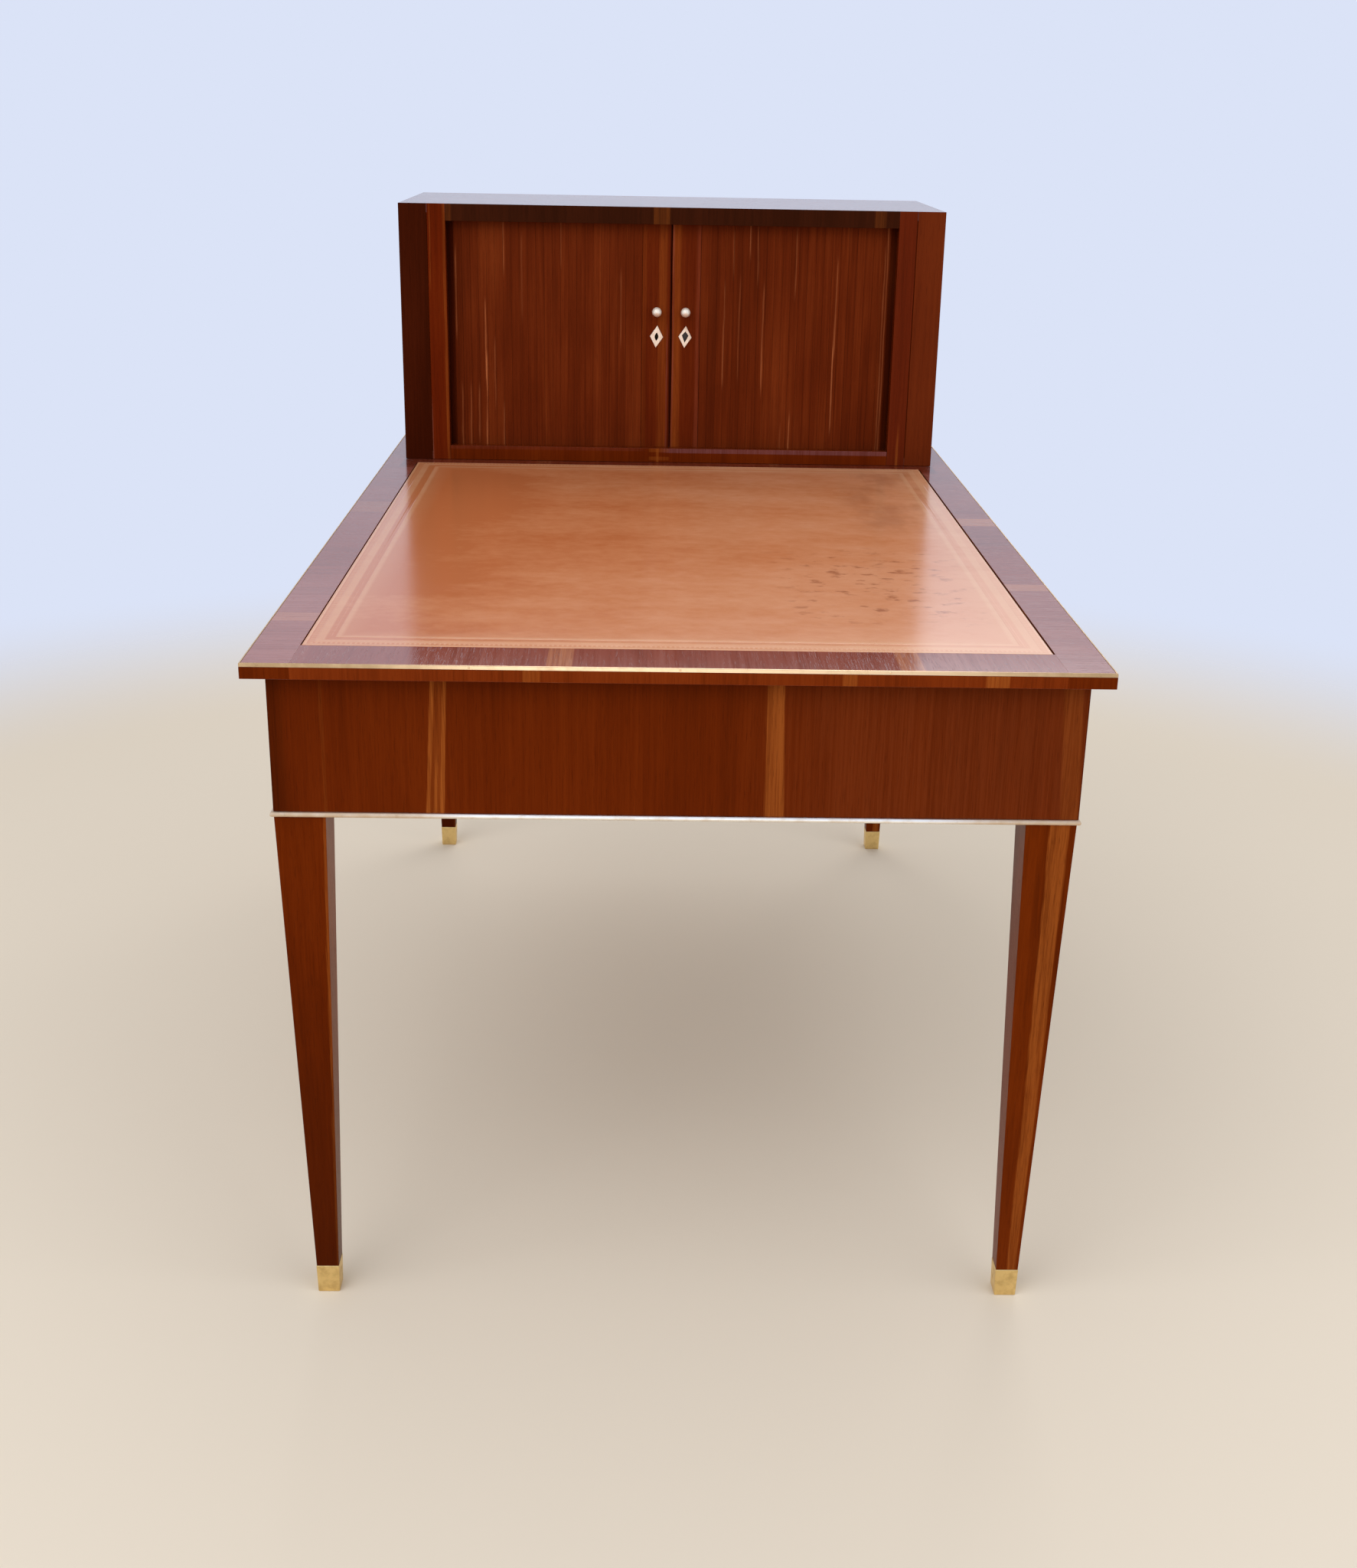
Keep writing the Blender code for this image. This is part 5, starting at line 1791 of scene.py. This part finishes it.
@dataclass
class Door:
    """The leading stile of one slatted door, with its knob and its lozenge escutcheon.

    Attributes:
        side: Left or right.
        arris: The rounding of the stile.
        plate_tilt: How far the escutcheon is tilted.
        plate_round: The rounding of its edges.
        small_keyhole: The width and height of the left keyhole.
        small_keyhole_round: The rounding of its corners.
        worn_keyhole: The width and height of the right keyhole.
        worn_shoulder: How far its widest part lies above its middle.
        turn: Turns what faces up to the front.
    """

    side: str
    arris: float = 0.0009
    plate_tilt: float = math.radians(3.8)
    plate_round: float = 0.0004
    small_keyhole: Span = (0.0072, 0.0150)
    small_keyhole_round: float = 0.0024
    worn_keyhole: Span = (0.0105, 0.0175)
    worn_shoulder: float = 0.0024
    turn: Point = (QUARTER_TURN, 0.0, 0.0)

    def build(self, brass: bpy.types.Material) -> None:
        """Builds the stile, the knob and the escutcheon.

        Args:
            brass: The knob's material.
        """
        body = self.side + "_door_lead"
        node = "tambour_stile_" + self.side
        plate_node, knob_node = "tambour_escutcheon_" + self.side, "tambour_knob_" + self.side
        low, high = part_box(node)
        plate_low, plate_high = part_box(plate_node)
        middle = (plate_low + plate_high) / 2
        stile = Bench.board(self.side + "_lead_stile", low, high, self.arris)
        Bench.carve(stile, self.keyhole(middle, high.y - low.y + CUT_THROUGH))
        finish = Veneer(self.side + "_stile_veneer", Axis.Z, Axis.X, self.strips(),
                        tones=Tones.of((60, 14, 4), (92, 31, 9), (122, 50, 15), (140, 68, 24)),
                        shift=43.0 + SIDES[self.side])
        Bench.hand_over(stile, Slot.MAHOGANY, finish.build(), node=node, body=body)

        plate = self.plate(middle, plate_high - plate_low)
        Bench.carve(plate, self.keyhole(middle, CUT_THROUGH))
        gilt = Brass(self.side + "_escutcheon_brass", ink(255, 236, 206), ink(214, 172, 124), 0.34, 0.35)
        Bench.hand_over(plate, Slot.BRASS, gilt.build(), node=plate_node, body=body)
        knob_low, knob_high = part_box(knob_node)
        spot = ((knob_low.x + knob_high.x) / 2, low.y, (knob_low.z + knob_high.z) / 2)
        Knob().build("knob_of_%s_door" % self.side, spot, self.turn, body, knob_node, brass)
        if self.side == "right":
            iron = Plain("lock_iron", ink(70, 66, 60), ink(104, 98, 90), (400.0, 400.0, 60.0), 0.4, 0.9)
            repaint(iron.build(), "tambour_lock")

    def strips(self) -> tuple[Strip, ...]:
        """Gives the strips in the stile's veneer, with the dark joint between the doors and thin painted
        highlights.

        Returns:
            The strips.
        """
        joint = ink(36, 6, 2)
        if self.side == "left":
            return (Strip(-0.0165, -0.0100, 0.50, soft=0.006), Strip(-0.0450, -0.0400, 0.2),
                    # The thin pinkish line beside the joint is a painted highlight.
                    Strip(-0.0060, -0.0050, 0.45, soft=0.001, reach=(0.80, 0.96), tone=ink(140, 72, 56)),
                    Strip(-0.0020, 0.0, 0.9, soft=0.0010, tone=joint))
        return (Strip(0.0060, 0.0120, 0.55, soft=0.006),
                # The thin pale lines at the outer edge and beside the joint are painted highlights on the
                # stile.
                Strip(0.0410, 0.0450, 0.30, soft=0.004, tone=ink(136, 66, 44)),
                Strip(0.0028, 0.0036, 0.45, soft=0.001, tone=ink(150, 80, 60)),
                Strip(0.0, 0.0012, 0.9, soft=0.0008, tone=joint))

    def lozenge(self, name: str, width: float, height: float, depth: float) -> bpy.types.Object:
        """Adds an upright lozenge block at the origin.

        Args:
            name: The piece's name.
            width: Its size in X.
            height: Its size in Z.
            depth: Its size in Y.

        Returns:
            The piece.
        """
        Bench.take()
        bpy.ops.mesh.primitive_cylinder_add(vertices=4, radius=1.0, depth=1.0)
        block = Bench.settle(name, (width / 2, height / 2, depth))
        Bench.move(block, ORIGIN, self.turn)
        return block

    def plate(self, middle: Vector, size: Vector) -> bpy.types.Object:
        """Builds the escutcheon's plate with rounded edges, tilted as it was pinned on.

        Args:
            middle: Its middle.
            size: Its size.

        Returns:
            The plate.
        """
        plate = self.lozenge(self.side + "_escutcheon", size.x, size.z, size.y)
        with Bench.editing(plate):
            Bench.round_edges(lambda edge: all(vert.co.y < 0 for vert in edge.verts), self.plate_round)
        Bench.move(plate, middle, (0.0, self.plate_tilt, 0.0))
        return plate

    def keyhole(self, middle: Vector, depth: float) -> bpy.types.Object:
        """Adds the cutter for the keyhole, small and rounded on the left and worn to a kite on the right.

        Args:
            middle: Its middle.
            depth: Its size in Y.

        Returns:
            The cutter.
        """
        small = self.side == "left"
        width, height = self.small_keyhole if small else self.worn_keyhole
        hole = self.lozenge(self.side + "_keyhole", width, height, depth)
        with Bench.editing(hole):
            if small:
                Bench.round_edges(lambda edge: run(edge, Axis.Y) > NEAR_ENOUGH, self.small_keyhole_round)
            else:
                Bench.pick(Part.VERT, lambda vert: abs(vert.co.x) > NEAR_ENOUGH)
                bpy.ops.transform.translate(value=(0.0, 0.0, self.worn_shoulder))
        Bench.move(hole, middle, (0.0, self.plate_tilt, 0.0))
        return hole


class Lamp(NamedTuple):
    """A soft square lamp.

    Attributes:
        name: Its name.
        place: Where it stands.
        aim: The point that it faces.
        size: The length of its side.
        power: Its power in watts.
        mirrored: Whether polished surfaces show it.
    """

    name: str
    place: Point
    aim: Point
    size: float
    power: float
    mirrored: bool

    def build(self) -> None:
        """Adds the lamp."""
        data = bpy.data.lights.new(self.name, "AREA")
        data.size = self.size
        data.energy = self.power
        lamp = bpy.data.objects.new(self.name, data)
        bpy.context.scene.collection.objects.link(lamp)
        lamp.visible_glossy = self.mirrored
        lamp.location = self.place
        lamp.rotation_euler = (Vector(self.aim) - Vector(self.place)).to_track_quat("-Z", "Y").to_euler()


@dataclass
class Studio:
    """A plain pale floor, soft light and the camera.

    Attributes:
        eye: Where the camera stands.
        yaw: How far it is turned to the right.
        pitch: How far it looks down.
        roll: How far it is rolled.
        focal_pixels: Its focal length, in pixels of the photograph.
        image_height: The photograph's height in pixels.
        sensor: The size of the sensor in millimetres.
        floor_radius: The radius of the floor.
        floor_sides: The sides of the floor.
        fade_start: How far out the floor starts to fade.
        fade_end: Where it is gone.
        backdrop: The colour of the background.
        floor_colour: The colour of the floor.
        daylight: The colour of the light from all round.
        ambient: The strength of that light.
        lamps: The lamps.
    """

    eye: Point = (-0.0387, -2.5656, 1.3264)
    yaw: float = 0.02146
    pitch: float = 0.353
    roll: float = -0.01863
    focal_pixels: float = 2420.16
    image_height: int = 2048
    sensor: float = 36.0
    floor_radius: float = 6.0
    floor_sides: int = 96
    fade_start: float = 1.7
    fade_end: float = 2.9
    backdrop: Colour = ink(219, 227, 247)
    floor_colour: Colour = ink(226, 216, 202)
    daylight: Colour = (1.0, 0.985, 0.96)
    ambient: float = 0.55
    lamps: tuple[Lamp, ...] = (
        Lamp("key_light", (-1.9, -2.6, 3.1), (0.0, -0.2, 0.75), 4.2, 75.0, False),
        Lamp("fill_light", (2.4, -2.2, 2.2), (0.0, 0.0, 0.7), 3.6, 42.0, False),
        Lamp("back_light", (0.4, 2.6, 3.0), (0.0, 0.2, 0.7), 2.6, 42.0, True),
        Lamp("glint_light", (-1.5, -2.8, 2.9), (0.0, -0.2, 0.75), 1.5, 10.0, True),
        Lamp("front_light", (-0.2, -3.3, 0.5), (0.0, -0.4, 0.6), 0.9, 4.0, True))

    def build(self) -> None:
        """Builds the studio."""
        bpy.context.scene.view_settings.view_transform = "Standard"
        self.camera()
        self.world()
        self.floor()
        for lamp in self.lamps:
            lamp.build()

    def camera(self) -> None:
        """Sets the camera where the photograph was taken from."""
        level_part = math.cos(self.pitch)
        forward = Vector((math.sin(self.yaw) * level_part, math.cos(self.yaw) * level_part,
                          -math.sin(self.pitch)))
        right = forward.cross(Vector((0.0, 0.0, 1.0))).normalized()
        down = forward.cross(right)
        rolled_right = math.cos(self.roll) * right + math.sin(self.roll) * down
        rolled_down = math.cos(self.roll) * down - math.sin(self.roll) * right
        turn = Matrix((rolled_right, -rolled_down, -forward)).transposed()
        data = bpy.data.cameras.new("camera")
        data.sensor_width = self.sensor
        data.lens = self.sensor * self.focal_pixels / self.image_height
        camera = bpy.data.objects.new("camera", data)
        bpy.context.scene.collection.objects.link(camera)
        camera.matrix_world = Matrix.Translation(self.eye) @ turn.to_4x4()
        bpy.context.scene.camera = camera

    def world(self) -> None:
        """Lights the object evenly, and shows a pale background to the camera and in reflections."""
        world = bpy.data.worlds.new("studio")
        bpy.context.scene.world = world
        world.use_nodes = True
        graph = Graph(world.node_tree)
        camera_ray = graph.node("LightPath", output="Is Camera Ray")
        glossy_ray = camera_ray.beside("Is Glossy Ray")
        seen = camera_ray.most(glossy_ray).most(camera_ray.beside("Is Transmission Ray"))
        light = graph.node("Background", inputs={"Color": self.daylight, "Strength": self.ambient})
        shown = graph.node("Background", inputs={"Color": self.backdrop, "Strength": 1.0})
        graph.show("World", graph.node("MixShader", inputs={0: seen, 1: light, 2: shown}))

    def floor(self) -> None:
        """Lays a pale round floor that fades into the background."""
        Bench.take()
        bpy.ops.mesh.primitive_circle_add(
            vertices=self.floor_sides, radius=self.floor_radius, fill_type="NGON")
        floor = bpy.context.object
        floor.name = "floor"
        material, graph = new_material("floor")
        x, y, _ = graph.split(graph.place())
        distance = graph.math("SQRT", x * x + y * y)
        there = graph.step(distance, self.fade_end, self.fade_start)
        pale = graph.node("BsdfDiffuse", inputs={"Color": self.floor_colour})
        clear = graph.node("BsdfTransparent")
        graph.show("Material", graph.node("MixShader", inputs={0: there, 1: clear, 2: pale}))
        floor.data.materials.append(material)


def main() -> None:
    """Builds the object's looks and the studio."""
    logging.basicConfig(level=logging.INFO, format="%(message)s")
    knob_brass = Brass("knob_brass", ink(255, 246, 228), ink(240, 218, 186), 0.42, 0.25,
                       metallic=0.6).build()
    DeskTop().build()
    Frieze().build()
    Legs().build()
    Drawers().build(knob_brass)
    Cabinet().build()
    for side in SIDES:
        Curtain(side).build()
        Door(side).build(knob_brass)
    Studio().build()


if __name__ == "__main__":
    main()
